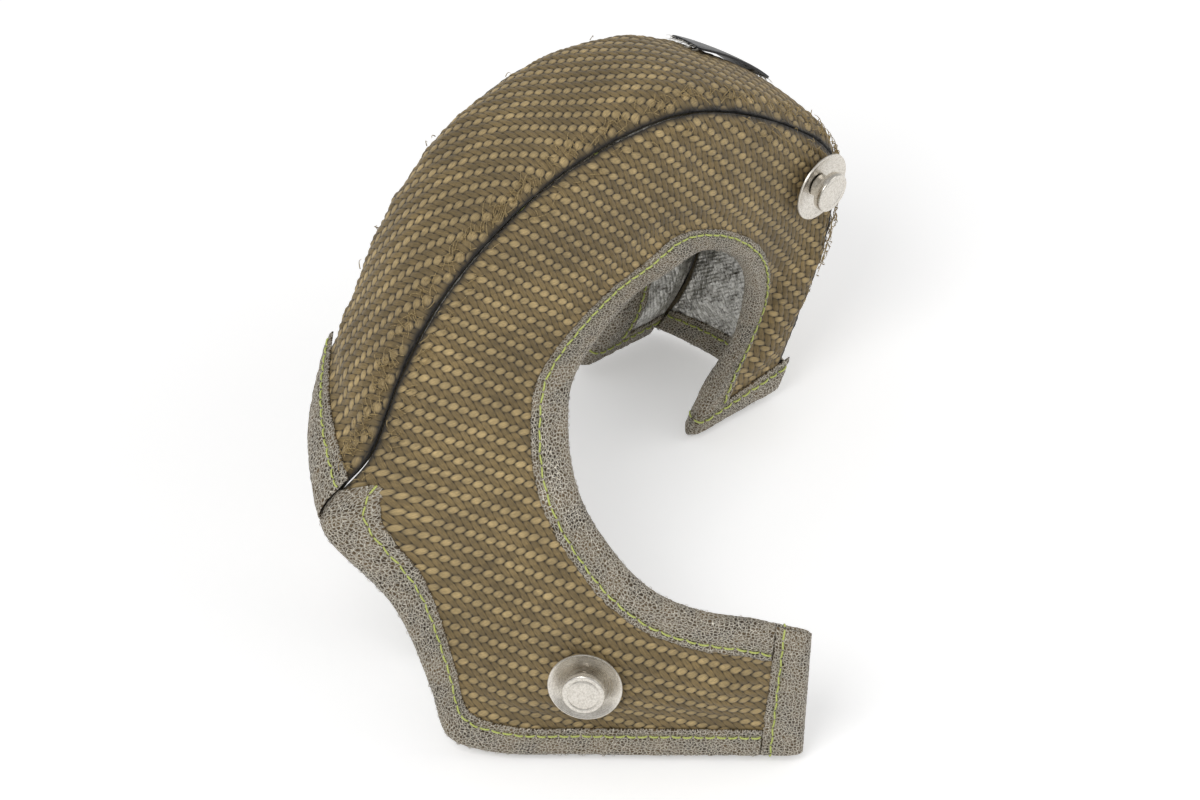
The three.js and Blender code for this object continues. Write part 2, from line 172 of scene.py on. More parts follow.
@dataclass(frozen=True)
class EdgeCurve:
    """A cloth edge: a centripetal Catmull-Rom curve through its points, one per station."""

    points: tuple[tuple[float, float, float], ...]

    def at(self, u: Array) -> Array:
        """Points of the curve at stations u.

        Between two points the curve is a cubic Hermite piece whose slopes come from the
        chords on both sides, each chord counted as the square root of its length.

        Args:
            u: stations, of any shape.

        Returns:
            Points in millimetres, with a last axis of 3.
        """
        p = np.array(self.points, float) + SHIFT
        last = len(p) - 1
        p = np.concatenate([[2 * p[0] - p[1]], p, [2 * p[-1] - p[-2]]])
        u = np.clip(np.asarray(u, float), 0, last)
        k = np.minimum(np.floor(u), last - 1).astype(int)
        w = (u - k)[..., None]
        p0, p1, p2, p3 = p[k], p[k + 1], p[k + 2], p[k + 3]

        def chord(a: Array, b: Array) -> Array:
            """Square root of the distance from a to b."""
            return np.sqrt(np.linalg.norm(b - a, axis=-1, keepdims=True))

        c0, c1, c2 = chord(p0, p1), chord(p1, p2), chord(p2, p3)
        s1 = ((p1 - p0) / c0 - (p2 - p0) / (c0 + c1) + (p2 - p1) / c1) * c1
        s2 = ((p2 - p1) / c1 - (p3 - p1) / (c1 + c2) + (p3 - p2) / c2) * c1
        w2, w3 = w * w, w * w * w
        return ((2 * w3 - 3 * w2 + 1) * p1 + (w3 - 2 * w2 + w) * s1
                + (3 * w2 - 2 * w3) * p2 + (w3 - w2) * s2)


@dataclass(frozen=True)
class StripFrame:
    """Directions of a strip at some stations: edge point, across, width, along, outward."""

    a: Array
    across: Array
    width: Array
    along: Array
    normal: Array


@dataclass(frozen=True)
class Panel:
    """A strip of cloth ruled between two edge curves.

    turn is 1 or -1, so that the normal points out of the blanket. Sewn edges start at the
    station seam_a or seam_b, and are free before it.
    """

    edge_a: EdgeCurve
    edge_b: EdgeCurve
    turn: int
    first: float
    last: float
    shift_b: float = 0.0
    bow: float = 0.0
    seam_a: float = math.inf
    seam_b: float = math.inf
    flared: bool = False

    def a(self, u: Array) -> Array:
        """Points of edge a."""
        return self.edge_a.at(u)

    def b(self, u: Array) -> Array:
        """Points of edge b."""
        return self.edge_b.at(u - self.shift_b)

    def middle(self, u: Array) -> Array:
        """Points halfway between the edges."""
        return (self.a(u) + self.b(u)) / 2

    def frame(self, u: Array) -> StripFrame:
        """Directions of the strip: outward is across times along, in the panel's sense."""
        u = np.asarray(u, float)
        a = self.a(u)
        across = self.b(u) - a
        width = np.linalg.norm(across, axis=-1)
        across = unit(across)
        along = unit(self.middle(u + 0.2) - self.middle(u - 0.2))
        return StripFrame(a, across, width, along, unit(np.cross(across, along)) * self.turn)

    def place(self, u: Array, x: Array, d: Array) -> Array:
        """Points at station u, x in from edge a and d above the sewn-down outer surface.

        Each point is the edge point, plus x along the rule, plus along the normal d and the
        strip's bow times the sine of pi times the share of the width. Where the front seam
        ends, the cloth flares out by a bell curve of the distance along the seam.

        Args:
            u: stations of shape (n, 1) or (n, m).
            x: distances in from edge a.
            d: heights.

        Returns:
            Points of shape (n, m, 3).
        """
        u, x, d = np.broadcast_arrays(u, x, d)
        f = self.frame(u)
        arch = self.bow * np.sin(np.pi * np.clip(x / f.width, 0, 1))
        points = f.a + f.across * x[..., None] + f.normal * (d + arch)[..., None]
        if self.flared:
            near = np.exp(-(((u - SEAM_START) / FLARE_RUN) ** 2))
            deep = np.exp(-((x / FLARE_DEPTH) ** 2))
            fade = deep if self.turn > 0 else np.clip(1 - x / f.width, 0, 1)
            points = points + (near * fade)[..., None] * FLARE
        return points

    def run(self, u0: float, u1: float) -> tuple[Array, Array]:
        """Stations from u0 to u1 and the distance run along the middle of the strip."""
        u = np.linspace(u0, u1, 1201)
        steps = np.linalg.norm(np.diff(self.middle(u), axis=0), axis=1)
        return u, np.concatenate([[0.0], np.cumsum(steps)])

    def stations(self, u0: float, u1: float, spacing: float) -> Array:
        """Stations an equal distance apart along the middle of the strip."""
        u, run = self.run(u0, u1)
        n = max(2, int(round(run[-1] / spacing)) + 1)
        return np.interp(np.linspace(0, run[-1], n), run, u)

    def from_first(self, u: Array) -> Array:
        """Distance of stations u from the strip's first end, along its middle."""
        grid, run = self.run(self.first, self.last)
        return np.interp(u, grid, run)

    def at_distance(self, distance: Array) -> Array:
        """Stations at some distances from the strip's first end."""
        grid, run = self.run(self.first, self.last)
        return np.interp(distance, run, grid)

    @property
    def length(self) -> float:
        """Length of the strip along its middle."""
        return float(self.run(self.first, self.last)[1][-1])


FACE_EDGE, SEAM_EDGE = EdgeCurve(tuple(FACE_INNER)), EdgeCurve(tuple(SEAM))
REAR_EDGE, REAR_IN_EDGE = EdgeCurve(tuple(REAR_OUTER)), EdgeCurve(tuple(REAR_INNER))
FACE = Panel(SEAM_EDGE, FACE_EDGE, 1, 0, 19, seam_a=SEAM_START, flared=True)
CROWN = Panel(SEAM_EDGE, REAR_EDGE, -1, SEAM_START, 19, shift_b=5.0, bow=3.4, seam_a=0, seam_b=0,
              flared=True)
REAR = Panel(REAR_EDGE, REAR_IN_EDGE, -1, 0, 14, seam_a=3)


def mitre(panel: Panel, side: Side, u: Array) -> tuple[Array, Array]:
    """Mitre of a sewn joint: how far it runs back per unit of depth, and the cloth's gap.

    The joint's half angle lies between the two strips' rules, both seen along the seam. The
    run is one over the tangent of the half angle, and the gap half the seam gap over its
    sine.

    Args:
        panel: the strip.
        side: its sewn edge.
        u: stations of shape (n, 1).

    Returns:
        Run per depth and gap, of the shape of u.
    """
    step = CROWN.shift_b
    if panel is REAR:
        other, curve, v, shift, sign, twin = CROWN, REAR_EDGE, u, step, 1, -1
    elif panel is CROWN and side is Side.B:
        other, curve, v, shift, sign, twin = REAR, REAR_EDGE, u - step, -step, -1, 1
    else:
        other = CROWN if panel is FACE else FACE
        curve, v, shift, sign, twin = SEAM_EDGE, u, 0.0, 1, 1
    along = unit(curve.at(v + 0.15) - curve.at(v - 0.15))
    one = panel.frame(u).across * sign
    two = other.frame(u + shift).across * twin
    one = one - along * (one * along).sum(-1, keepdims=True)
    two = two - along * (two * along).sum(-1, keepdims=True)
    size = np.linalg.norm(one, axis=-1)
    cosine = (unit(one) * unit(two)).sum(-1)
    half = np.arccos(np.clip(cosine, -1, 1)) / 2
    return 1 / np.tan(half) / size, 0.25 / np.sin(half)


@dataclass(frozen=True)
class FlatPattern:
    """A strip laid out flat, so that a weave runs straight through the whole cut.

    Each pair of neighbouring rules bounds a four-sided cell, split into two triangles that
    keep their side lengths. The cell turns the next rule by the sum of its angles at edge a
    less half a turn, and running sums of the turns and steps give the flat strip. The weft
    lies weft_angle degrees from the rule at the station named at, and skew is how many degrees
    the warp leans from square to the weft.
    """

    panel: Panel
    weft_angle: float
    at: float
    skew: float = 0.0

    def solve(self) -> tuple[Array, Array, Array]:
        """Stations, flat points of edge a, and flat angles of the rules."""
        p = self.panel
        u = np.linspace(p.first, p.last, 801)
        a, b = p.a(u), p.b(u)

        def corner(at: Array, one: Array, two: Array) -> Array:
            """Angle at a point between the directions to two others."""
            c = (unit(one - at) * unit(two - at)).sum(-1)
            return np.arccos(np.clip(c, -1, 1))

        first = corner(a[:-1], b[:-1], a[1:])
        second = corner(a[1:], a[:-1], b[:-1]) + corner(a[1:], b[:-1], b[1:])
        angle = np.concatenate([[0.0], np.cumsum(first + second - np.pi)])
        step = np.linalg.norm(np.diff(a, axis=0), axis=1)
        heading = angle[:-1] + first
        moves = np.stack([np.cos(heading), np.sin(heading)], -1) * step[:, None]
        flat = np.concatenate([[[0.0, 0.0]], np.cumsum(moves, axis=0)])
        return u, flat, angle

    def coordinates(self, u: Array, x: Array) -> Array:
        """Weft and warp distances, in millimetres, of points at stations u and x.

        Args:
            u: stations of shape (n, 1).
            x: distances from edge a, of shape (n, m).

        Returns:
            Distances along the weft and along the warp, of shape (n, m, 2).
        """
        grid, flat, angle = self.solve()
        u, x = np.broadcast_arrays(u, x)
        theta = np.interp(u, grid, angle)
        px = np.interp(u, grid, flat[:, 0]) + x * np.cos(theta)
        py = np.interp(u, grid, flat[:, 1]) + x * np.sin(theta)
        base = float(np.interp(self.at, grid, angle))
        turn = self.panel.turn
        weft = base + turn * math.radians(self.weft_angle)
        warp = weft - turn * math.radians(90 - self.skew)
        area = math.sin(warp - weft)
        u_mm = (px * math.sin(warp) - py * math.cos(warp)) / area
        v_mm = (py * math.cos(weft) - px * math.sin(weft)) / area
        wobble = 0.35 * fractal(u_mm / 14, v_mm / 14, 5.1, 2)
        return np.stack([u_mm + wobble, v_mm + 0.8 * wobble], -1)


# Meshes


def ring_mesh(rows: Array) -> tuple[Array, list[list[int]]]:
    """Closed body from rows of closed rings, with a many-sided face over each end.

    Args:
        rows: points of shape (n, m, 3), each row a closed ring.

    Returns:
        Points of shape (n * m, 3) and faces.
    """
    n, m = rows.shape[:2]
    ring = np.arange(n * m).reshape(n, m)
    here, there = ring[:-1], ring[1:]
    quads = np.stack([here, np.roll(here, -1, 1), np.roll(there, -1, 1), there], -1)
    faces = quads.reshape(-1, 4).tolist()
    return rows.reshape(-1, 3), faces + [ring[0][::-1].tolist(), ring[-1].tolist()]


def shell(top: Array, under: Array) -> Array:
    """Rows of closed rings from a top surface and an underside with the same row count."""
    return np.concatenate([top, under[:, ::-1]], axis=1)


def tubes(paths: Array, radius: float | Array, sides: int) -> tuple[Array, list[list[int]]]:
    """Round tubes along many paths at once, as one set of closed bodies.

    Each ring is the path's point plus the radius times a turning pair of directions square
    to the path.

    Args:
        paths: centre lines of shape (count, n, 3).
        radius: one radius, or one for each point of a path.
        sides: number of sides.

    Returns:
        Points and faces of all the tubes.
    """
    count, n = paths.shape[:2]
    tangent = unit(np.gradient(paths, axis=1))
    spare = np.where(np.abs(tangent[:, :1, 2:]) > 0.8, [1.0, 0.0, 0.0], [0.0, 0.0, 1.0])
    one = unit(np.cross(tangent, np.broadcast_to(spare, tangent.shape)))
    two = np.cross(tangent, one)
    angle = np.arange(sides) * 2 * np.pi / sides
    size = np.broadcast_to(radius, (n,))[None, :, None, None]
    turn = (one[:, :, None] * np.cos(angle)[:, None] + two[:, :, None] * np.sin(angle)[:, None])
    rows = paths[:, :, None] + turn * size
    index = np.arange(count * n * sides).reshape(count, n, sides)
    here, there = index[:, :-1], index[:, 1:]
    quads = np.stack([here, np.roll(here, -1, 2), np.roll(there, -1, 2), there], -1)
    caps = [index[:, 0, ::-1].reshape(count, -1), index[:, -1].reshape(count, -1)]
    faces = quads.reshape(-1, 4).tolist() + np.concatenate(caps).tolist()
    return rows.reshape(-1, 3), faces


def signed_volume(points: Array, faces: list[list[int]]) -> float:
    """Volume inside a closed mesh, negative if it is inside out: cones from the middle."""
    centre = points.mean(0)
    total = 0.0
    for size in {len(f) for f in faces}:
        block = np.array([f for f in faces if len(f) == size])
        corner = points[block] - centre
        for k in range(1, size - 1):
            cone = np.cross(corner[:, k], corner[:, k + 1])
            total += float((corner[:, 0] * cone).sum())
    return total / 6


@dataclass
class Piece:
    """One finished piece: a mesh with its finish, riding on the root body."""

    name: str
    points: Array
    faces: list[list[int]]
    finish: bpy.types.Material
    slot: Slot
    uv: Array | None = None
    # painted shade along the seams, from 0 to 1 at each point
    shade: Array | None = None
    closed: bool = True
    sharp: float | None = None

    def build(self, *replaced: str) -> bpy.types.Object:
        """Args:
            replaced: CAD nodes that it stands for.

        Returns:
            The object, at the origin, with its place in its mesh.
        """
        faces = self.faces
        if self.closed and signed_volume(self.points, faces) < 0:
            faces = [f[::-1] for f in faces]
        mesh = bpy.data.meshes.new(self.name)
        mesh.from_pydata((self.points * MM).tolist(), [], faces)
        mesh.update()
        if self.uv is not None:
            index = np.empty(len(mesh.loops), np.int32)
            mesh.loops.foreach_get("vertex_index", index)
            layer = mesh.uv_layers.new(name="cloth")
            layer.data.foreach_set("uv", self.uv[index].astype(np.float32).ravel())
        # The painted seam shade goes into a point attribute that the cloth's colour reads.
        if self.shade is not None:
            layer = mesh.attributes.new("painted_seam_shade", "FLOAT", "POINT")
            layer.data.foreach_set("value", self.shade.astype(np.float32).ravel())
        mesh.shade_smooth()
        if self.sharp is not None:
            mesh.set_sharp_from_angle(angle=math.radians(self.sharp))
        mesh.materials.append(self.finish)
        obj = bpy.data.objects.new(self.name, mesh)
        bpy.context.scene.collection.objects.link(obj)
        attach(obj, ROOT)
        if replaced:
            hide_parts(*replaced)
        log.info("%s: %d faces", self.name, len(faces))
        return obj


# Finishes

Socket = bpy.types.NodeSocket


class NodeKit:
    """Short calls for the shader nodes of one material."""

    def __init__(self, name: str) -> None:
        """Makes an empty material with a Principled shader on its output."""
        self.material = bpy.data.materials.new(name)
        self.material.use_nodes = True
        self.tree = self.material.node_tree
        self.tree.nodes.clear()
        self.shader = self.tree.nodes.new("ShaderNodeBsdfPrincipled")
        out = self.tree.nodes.new("ShaderNodeOutputMaterial")
        self.tree.links.new(self.shader.outputs[0], out.inputs[0])

    def wire(self, value: object, socket: Socket) -> None:
        """Links a socket, or writes a plain value into it."""
        if isinstance(value, bpy.types.NodeSocket):
            self.tree.links.new(value, socket)
        else:
            socket.default_value = value

    def node(self, kind: str, inputs: dict[str | int, object], **settings: object) -> object:
        """Adds a node, sets its settings and wires its inputs."""
        made = self.tree.nodes.new(kind)
        for key, value in settings.items():
            setattr(made, key, value)
        for key, value in inputs.items():
            self.wire(value, made.inputs[key])
        return made

    def math(self, operation: str, *values: object) -> Socket:
        """One Math node."""
        inputs = dict(enumerate(values))
        return self.node("ShaderNodeMath", inputs, operation=operation).outputs[0]

    def map(self, value: object, low: float, high: float, a: float = 0.0,
            b: float = 1.0) -> Socket:
        """Value from low..high onto a..b, eased with smoothstep and held."""
        inputs = {0: value, 1: low, 2: high, 3: a, 4: b}
        made = self.node("ShaderNodeMapRange", inputs, interpolation_type="SMOOTHSTEP")
        return made.outputs[0]

    def mix(self, factor: object, a: object, b: object, blend: str = "MIX") -> Socket:
        """Mix of two colours."""
        made = self.node("ShaderNodeMix", {}, data_type="RGBA", blend_type=blend)
        for key, value in ((0, factor), (6, a), (7, b)):
            self.wire(value, made.inputs[key])
        return made.outputs[2]

    def join(self, x: object, y: object, z: object = 0.0) -> Socket:
        """Vector from three numbers."""
        return self.node("ShaderNodeCombineXYZ", {0: x, 1: y, 2: z}).outputs[0]

    def split(self, vector: object) -> tuple[Socket, Socket, Socket]:
        """Three numbers of a vector."""
        made = self.node("ShaderNodeSeparateXYZ", {0: vector})
        return made.outputs[0], made.outputs[1], made.outputs[2]

    def uv(self) -> tuple[Socket, Socket]:
        """The piece's own flat coordinates, in millimetres."""
        made = self.node("ShaderNodeUVMap", {}, uv_map="cloth")
        x, y, _ = self.split(made.outputs[0])
        return x, y

    def object_mm(self) -> Socket:
        """Object coordinates in millimetres."""
        coordinate = self.node("ShaderNodeTexCoord", {}).outputs["Object"]
        inputs = {0: coordinate, "Scale": 1 / MM}
        return self.node("ShaderNodeVectorMath", inputs, operation="SCALE").outputs[0]

    def noise(self, vector: object, scale: float, detail: float = 3.0,
              rough: float = 0.55) -> Socket:
        """Noise texture from 0 to 1."""
        inputs = {"Vector": vector, "Scale": scale, "Detail": detail, "Roughness": rough}
        return self.node("ShaderNodeTexNoise", inputs).outputs[0]

    def cells(self, vector: object, scale: float, random: float, feature: str) -> Socket:
        """Distance of a Voronoi texture in two directions."""
        inputs = {"Vector": vector, "Scale": scale, "Randomness": random}
        made = self.node("ShaderNodeTexVoronoi", {}, voronoi_dimensions="2D", feature=feature)
        for key, value in inputs.items():
            self.wire(value, made.inputs[key])
        return made.outputs["Distance"]

    def tow(self, number: object) -> Socket:
        """Random number of one tow."""
        made = self.node("ShaderNodeTexWhiteNoise", {}, noise_dimensions="1D")
        self.wire(number, made.inputs["W"])
        return made.outputs[0]

    def bump(self, height: object, millimetres: float, strength: float,
             under: Socket | None = None) -> Socket:
        """Bump of a height from 0 to 1 that stands for some millimetres."""
        inputs = {"Height": height, "Distance": millimetres * MM, "Strength": strength}
        made = self.node("ShaderNodeBump", inputs)
        if under is not None:
            self.wire(under, made.inputs["Normal"])
        return made.outputs[0]

    def finish(self, **inputs: object) -> bpy.types.Material:
        """Wires the Principled shader, whose sockets are named with underscores."""
        for key, value in inputs.items():
            self.wire(value, self.shader.inputs[key.replace("_", " ")])
        return self.material


@dataclass(frozen=True)
class TwillWeave:
    """Two-over-two twill: sizes in millimetres and the height of its tows."""

    weft_cell: float = 1.6
    warp_cell: float = 2.05
    relief: float = 0.4

    def height(self, flat: Array) -> Array:
        """Height of the cloth's surface from -1 to 1 at flat coordinates.

        Each tow goes up and down as a cosine with a period of four cells, half a period
        over and half under, and its cross-section is a flattened half ellipse. The surface
        is the higher of the warp and the weft.
        """
        s, t = flat[..., 0] / self.weft_cell, flat[..., 1] / self.warp_cell
        i, j = np.floor(s), np.floor(t)
        weft = np.cos(np.pi * (s - j - 1) / 2)
        warp = np.cos(np.pi * (t - i + 2) / 2)
        weft_hump = np.sqrt(1 - 0.9 * (2 * (t - j) - 1) ** 2) - 1
        warp_hump = np.sqrt(1 - 0.9 * (2 * (s - i) - 1) ** 2) - 1
        over = 0.75 * weft + 0.95 * weft_hump - 0.32 + 0.12 * (scatter(j, 0 * j, 3.0) - 0.5)
        under = 0.75 * warp + 0.95 * warp_hump + 0.12 * (scatter(i, 0 * i, 9.0) - 0.5)
        return np.maximum(over, under)


@dataclass(frozen=True)
class ClothFinish:
    """Khaki basalt-like twill: streaked tows, painted shade in the gaps between them and a little raised
    fluff.
    """

    weave: TwillWeave = field(default_factory=TwillWeave)
    weft: tuple[int, int, int] = (186, 162, 114)
    warp: tuple[int, int, int] = (134, 114, 74)
    # painted shade: the near-black colour that the hollows between tows take
    gap: tuple[int, int, int] = (24, 18, 9)

    def build(self) -> bpy.types.Material:
        """Colour, roughness and bump from the same tow pattern as the mesh, and painted shade along the
        seams.
        """
        k = NodeKit("khaki_twill")
        u, v = k.uv()
        s, t = k.math("DIVIDE", u, self.weave.weft_cell), k.math("DIVIDE", v, self.weave.warp_cell)
        i, j = k.math("FLOOR", s), k.math("FLOOR", t)

        def path(run: Socket, number: Socket, lead: float) -> Socket:
            """Rise and fall of a tow: the cosine of a quarter turn for each cell."""
            cell = k.math("ADD", k.math("SUBTRACT", run, number), lead)
            return k.math("COSINE", k.math("MULTIPLY", cell, math.pi / 2))

        def hump(run: Socket, number: Socket) -> Socket:
            """Half ellipse across a tow, less one."""
            centre = k.math("MULTIPLY_ADD", k.math("SUBTRACT", run, number), 2.0, -1.0)
            square = k.math("MULTIPLY", k.math("MULTIPLY", centre, centre), -0.9)
            return k.math("SUBTRACT", k.math("SQRT", k.math("ADD", square, 1.0)), 1.0)

        def height(along: Socket, across: Socket, sunk: float) -> Socket:
            """Height of one tow."""
            lifted = k.math("MULTIPLY_ADD", across, 0.95, -sunk)
            return k.math("MULTIPLY_ADD", along, 0.75, lifted)

        weft = height(path(s, j, -1.0), hump(t, j), 0.32)
        warp = height(path(t, i, 2.0), hump(s, i), 0.0)
        top = k.math("MAXIMUM", weft, warp)
        is_weft = k.map(k.math("SUBTRACT", weft, warp), -0.08, 0.08)
        weft_fibre = k.noise(k.join(k.math("MULTIPLY", u, 0.45), k.math("MULTIPLY", v, 6.5), j),
                             1.0, 4.0, 0.65)
        warp_fibre = k.noise(k.join(k.math("MULTIPLY", u, 6.5), k.math("MULTIPLY", v, 0.45), i),
                             1.0, 4.0, 0.65)
        fibre = k.node("ShaderNodeMix", {0: is_weft, 2: warp_fibre, 3: weft_fibre}).outputs[0]
        flat = k.join(u, v)
        stain = k.noise(flat, 0.045, 3.0)
        dust = k.noise(flat, 0.6, 3.0)
        colour = k.mix(is_weft, linear(*self.warp), linear(*self.weft))
        streak = k.map(fibre, 0.3, 0.72, 0.62, 1.28)
        tint = k.map(k.tow(k.math("ADD", i, 0.37)), 0.0, 1.0, 0.9, 1.08)
        tint = k.math("MULTIPLY", tint, k.map(k.tow(k.math("ADD", j, 71.3)), 0.0, 1.0, 0.86, 1.1))
        tint = k.math("MULTIPLY", tint, k.map(stain, 0.3, 0.7, 0.86, 1.1))
        tint = k.math("MULTIPLY", tint, k.map(dust, 0.3, 0.7, 0.9, 1.08))
        level = k.math("MULTIPLY", streak, tint)
        grey = k.join(level, level, level)
        colour = k.mix(1.0, colour, grey, "MULTIPLY")
        # Painted shade: the low parts of the weave turn to the near-black gap colour.
        colour = k.mix(k.map(top, -0.6, 0.3), linear(*self.gap), colour)
        # Painted shade along the seams: the point attribute turns the cloth towards near black.
        shade = k.node("ShaderNodeAttribute", {}, attribute_name="painted_seam_shade").outputs["Fac"]
        colour = k.mix(shade, colour, linear(16, 12, 7))
        rough = k.map(fibre, 0.3, 0.7, 0.5, 0.72)
        normal = k.bump(top, 0.3, 0.55)
        normal = k.bump(fibre, 0.16, 0.8, normal)
        return k.finish(Base_Color=colour, Roughness=rough, Normal=normal,
                        Sheen_Weight=0.12, Sheen_Roughness=0.5)


@dataclass(frozen=True)
class FoilFinish:
    """Silver metallised cloth: creased foil over a plain woven base."""

    bright: tuple[int, int, int] = (232, 231, 226)
    worn: tuple[int, int, int] = (96, 92, 84)

    def build(self) -> bpy.types.Material:
        """Mottled foil: worn where the weave stands up, creased by cell edges."""
        k = NodeKit("creased_foil")
        u, v = k.uv()
        flat = k.join(u, v)
        warped = k.node("ShaderNodeVectorMath", {
            0: flat, 1: k.join(k.math("MULTIPLY", k.noise(flat, 0.25, 3.0), 5.0), 0.0)},
            operation="ADD").outputs[0]
        crease = k.math("ADD", k.math("MULTIPLY", k.cells(warped, 0.16, 1.0, "DISTANCE_TO_EDGE"),
                                      1.2), k.math("MULTIPLY", k.cells(warped, 0.45, 1.0, "F1"), 0.6))
        grid = k.math("MULTIPLY", k.math("SINE", k.math("MULTIPLY", u, 4.6)),
                      k.math("SINE", k.math("MULTIPLY", v, 4.6)))
        speck = k.noise(flat, 1.3, 4.0, 0.7)
        blotch = k.noise(flat, 0.22, 4.0, 0.65)
        worn = k.math("ADD", k.map(speck, 0.46, 0.66, 0.0, 0.55), k.map(blotch, 0.45, 0.68, 0.0, 0.6))
        worn = k.math("ADD", worn, k.math("MULTIPLY", grid, 0.12))
        colour = k.mix(worn, linear(*self.bright), linear(*self.worn))
        normal = k.bump(crease, 1.1, 0.75)
        normal = k.bump(k.math("ADD", k.math("MULTIPLY", grid, 0.3), speck), 0.35, 0.7, normal)
        return k.finish(Base_Color=colour, Metallic=0.82, Normal=normal,
                        Roughness=k.map(speck, 0.3, 0.7, 0.26, 0.5))


@dataclass(frozen=True)
class TapeFinish:
    """Knitted wire mesh over cloth: irregular loops of bright wire with dark gaps."""

    wire: tuple[int, int, int] = (232, 226, 212)
    under: tuple[int, int, int] = (112, 94, 68)
    deep: tuple[int, int, int] = (52, 42, 30)
    cell: float = 1.15

    def build(self) -> bpy.types.Material:
        """Two layers of cell edges stand for the two layers of folded mesh, the lower layer's wire painted
        half in shade.
        """
        k = NodeKit("knitted_wire_tape")
        u, v = k.uv()
        shake = k.noise(k.join(u, v), 0.9, 2.0)
        x = k.math("MULTIPLY_ADD", shake, 0.8, k.math("DIVIDE", u, self.cell))
        y = k.math("MULTIPLY_ADD", shake, -0.6, k.math("DIVIDE", v, self.cell * 0.82))
        flat = k.join(x, y)
        upper = k.cells(flat, 1.0, 0.95, "DISTANCE_TO_EDGE")
        shifted = k.join(k.math("MULTIPLY_ADD", y, 1.13, 13.7), k.math("MULTIPLY_ADD", x, 1.13, 5.2))
        lower = k.cells(shifted, 1.0, 0.85, "DISTANCE_TO_EDGE")
        on_top = k.map(upper, 0.06, 0.15, 1.0, 0.0)
        below = k.map(lower, 0.06, 0.15, 1.0, 0.0)
        patch = k.noise(k.join(u, v), 0.12, 3.0)
        base = k.mix(k.map(patch, 0.35, 0.65), linear(*self.deep), linear(*self.under))
        # Painted shade: the lower layer's wire goes only halfway from the base colour to the wire colour.
        colour = k.mix(k.math("MULTIPLY", below, 0.5), base, linear(*self.wire))
        wire = k.mix(k.map(k.noise(k.join(u, v), 2.1, 2.0), 0.35, 0.7), linear(*self.wire),
                     linear(176, 164, 142))
        colour = k.mix(on_top, colour, wire)
        height = k.math("ADD", on_top, k.math("MULTIPLY", below, 0.45))
        metal = k.math("MULTIPLY", k.math("MAXIMUM", on_top, k.math("MULTIPLY", below, 0.6)), 0.3)
        return k.finish(Base_Color=colour, Metallic=metal, Roughness=k.map(height, 0.0, 1.0, 0.75, 0.38),
                        Normal=k.bump(height, 0.28, 0.9))


@dataclass(frozen=True)
class SteelFinish:
    """Turned stainless steel: fine rings about the piece's own axis."""

    name: str = "turned_steel"
    pitch: float = 0.35
    depth: float = 0.35

    def build(self) -> bpy.types.Material:
        """Rings from the distance to the axis, which the first flat coordinate holds."""
        k = NodeKit(self.name)
        r, angle = k.uv()
        ring = k.math("SINE", k.math("MULTIPLY", r, 2 * math.pi / self.pitch))
        drift = k.noise(k.join(k.math("MULTIPLY", r, 3.0), k.math("MULTIPLY", angle, 0.05)), 1.0, 4.0)
        scratch = k.noise(k.object_mm(), 1.7, 4.0, 0.7)
        height = k.math("MULTIPLY_ADD", ring, 0.25, k.math("ADD", drift, k.math("MULTIPLY", scratch, 0.3)))
        colour = k.mix(k.map(scratch, 0.35, 0.7), linear(226, 221, 212), linear(196, 190, 180))
        return k.finish(Base_Color=colour, Metallic=1.0, Roughness=k.map(drift, 0.3, 0.7, 0.2, 0.36),
                        Normal=k.bump(height, 0.03, self.depth))


@dataclass(frozen=True)
class FibreFinish:
    """Plain fibres, such as felt, thread or a loose end: fine streaks and a soft surface."""

    name: str
    light: tuple[int, int, int]
    dark: tuple[int, int, int]
    scale: float = 2.0
    height: float = 0.15

    def build(self) -> bpy.types.Material:
        """Noise on object coordinates for colour and bump."""
        k = NodeKit(self.name)
        place = k.object_mm()
        fine = k.noise(place, self.scale, 4.0, 0.7)
        colour = k.mix(k.map(fine, 0.35, 0.65), linear(*self.dark), linear(*self.light))
        return k.finish(Base_Color=colour, Roughness=k.map(fine, 0.3, 0.7, 0.6, 0.9),
                        Normal=k.bump(fine, self.height, 0.7), Sheen_Weight=0.15)


@dataclass(frozen=True)
class BlackFinish:
    """Black coated plate: satin, with faint rolling marks and dust."""

    def build(self) -> bpy.types.Material:
        """Almost even black with a fine grain along the plate."""
        k = NodeKit("black_plate")
        u, v = k.uv()
        grain = k.noise(k.join(k.math("MULTIPLY", u, 0.3), k.math("MULTIPLY", v, 4.0)), 1.0, 4.0)
        dust = k.noise(k.join(u, v), 2.5, 4.0, 0.75)
        colour = k.mix(k.map(dust, 0.5, 0.85), linear(17, 17, 20), linear(48, 48, 52))
        return k.finish(Base_Color=colour, Roughness=k.map(grain, 0.3, 0.7, 0.32, 0.5),
                        Normal=k.bump(grain, 0.03, 0.5))


class Finishes:
    """Every finish of the blanket, made once."""

    def __init__(self) -> None:
        """Builds the materials."""
        self.cloth = ClothFinish().build()
        self.foil = FoilFinish().build()
        self.tape = TapeFinish().build()
        self.steel = SteelFinish().build()
        self.head = SteelFinish("turned_head", 0.9, 0.8).build()
        self.felt = FibreFinish("needled_felt", (150, 138, 112), (104, 92, 70)).build()
        self.thread = FibreFinish("sewing_thread", (224, 232, 140), (178, 190, 92), 5.0).build()
        self.fray = FibreFinish("loose_fibre", (190, 166, 114), (120, 100, 60), 3.0, 0.05).build()
        self.white = FibreFinish("white_fibre", (236, 234, 226), (196, 192, 180), 3.0, 0.05).build()
        self.wire = FibreFinish("mesh_wire", (206, 198, 184), (140, 130, 112), 4.0, 0.05).build()
        self.black = BlackFinish().build()


# Quilted panels


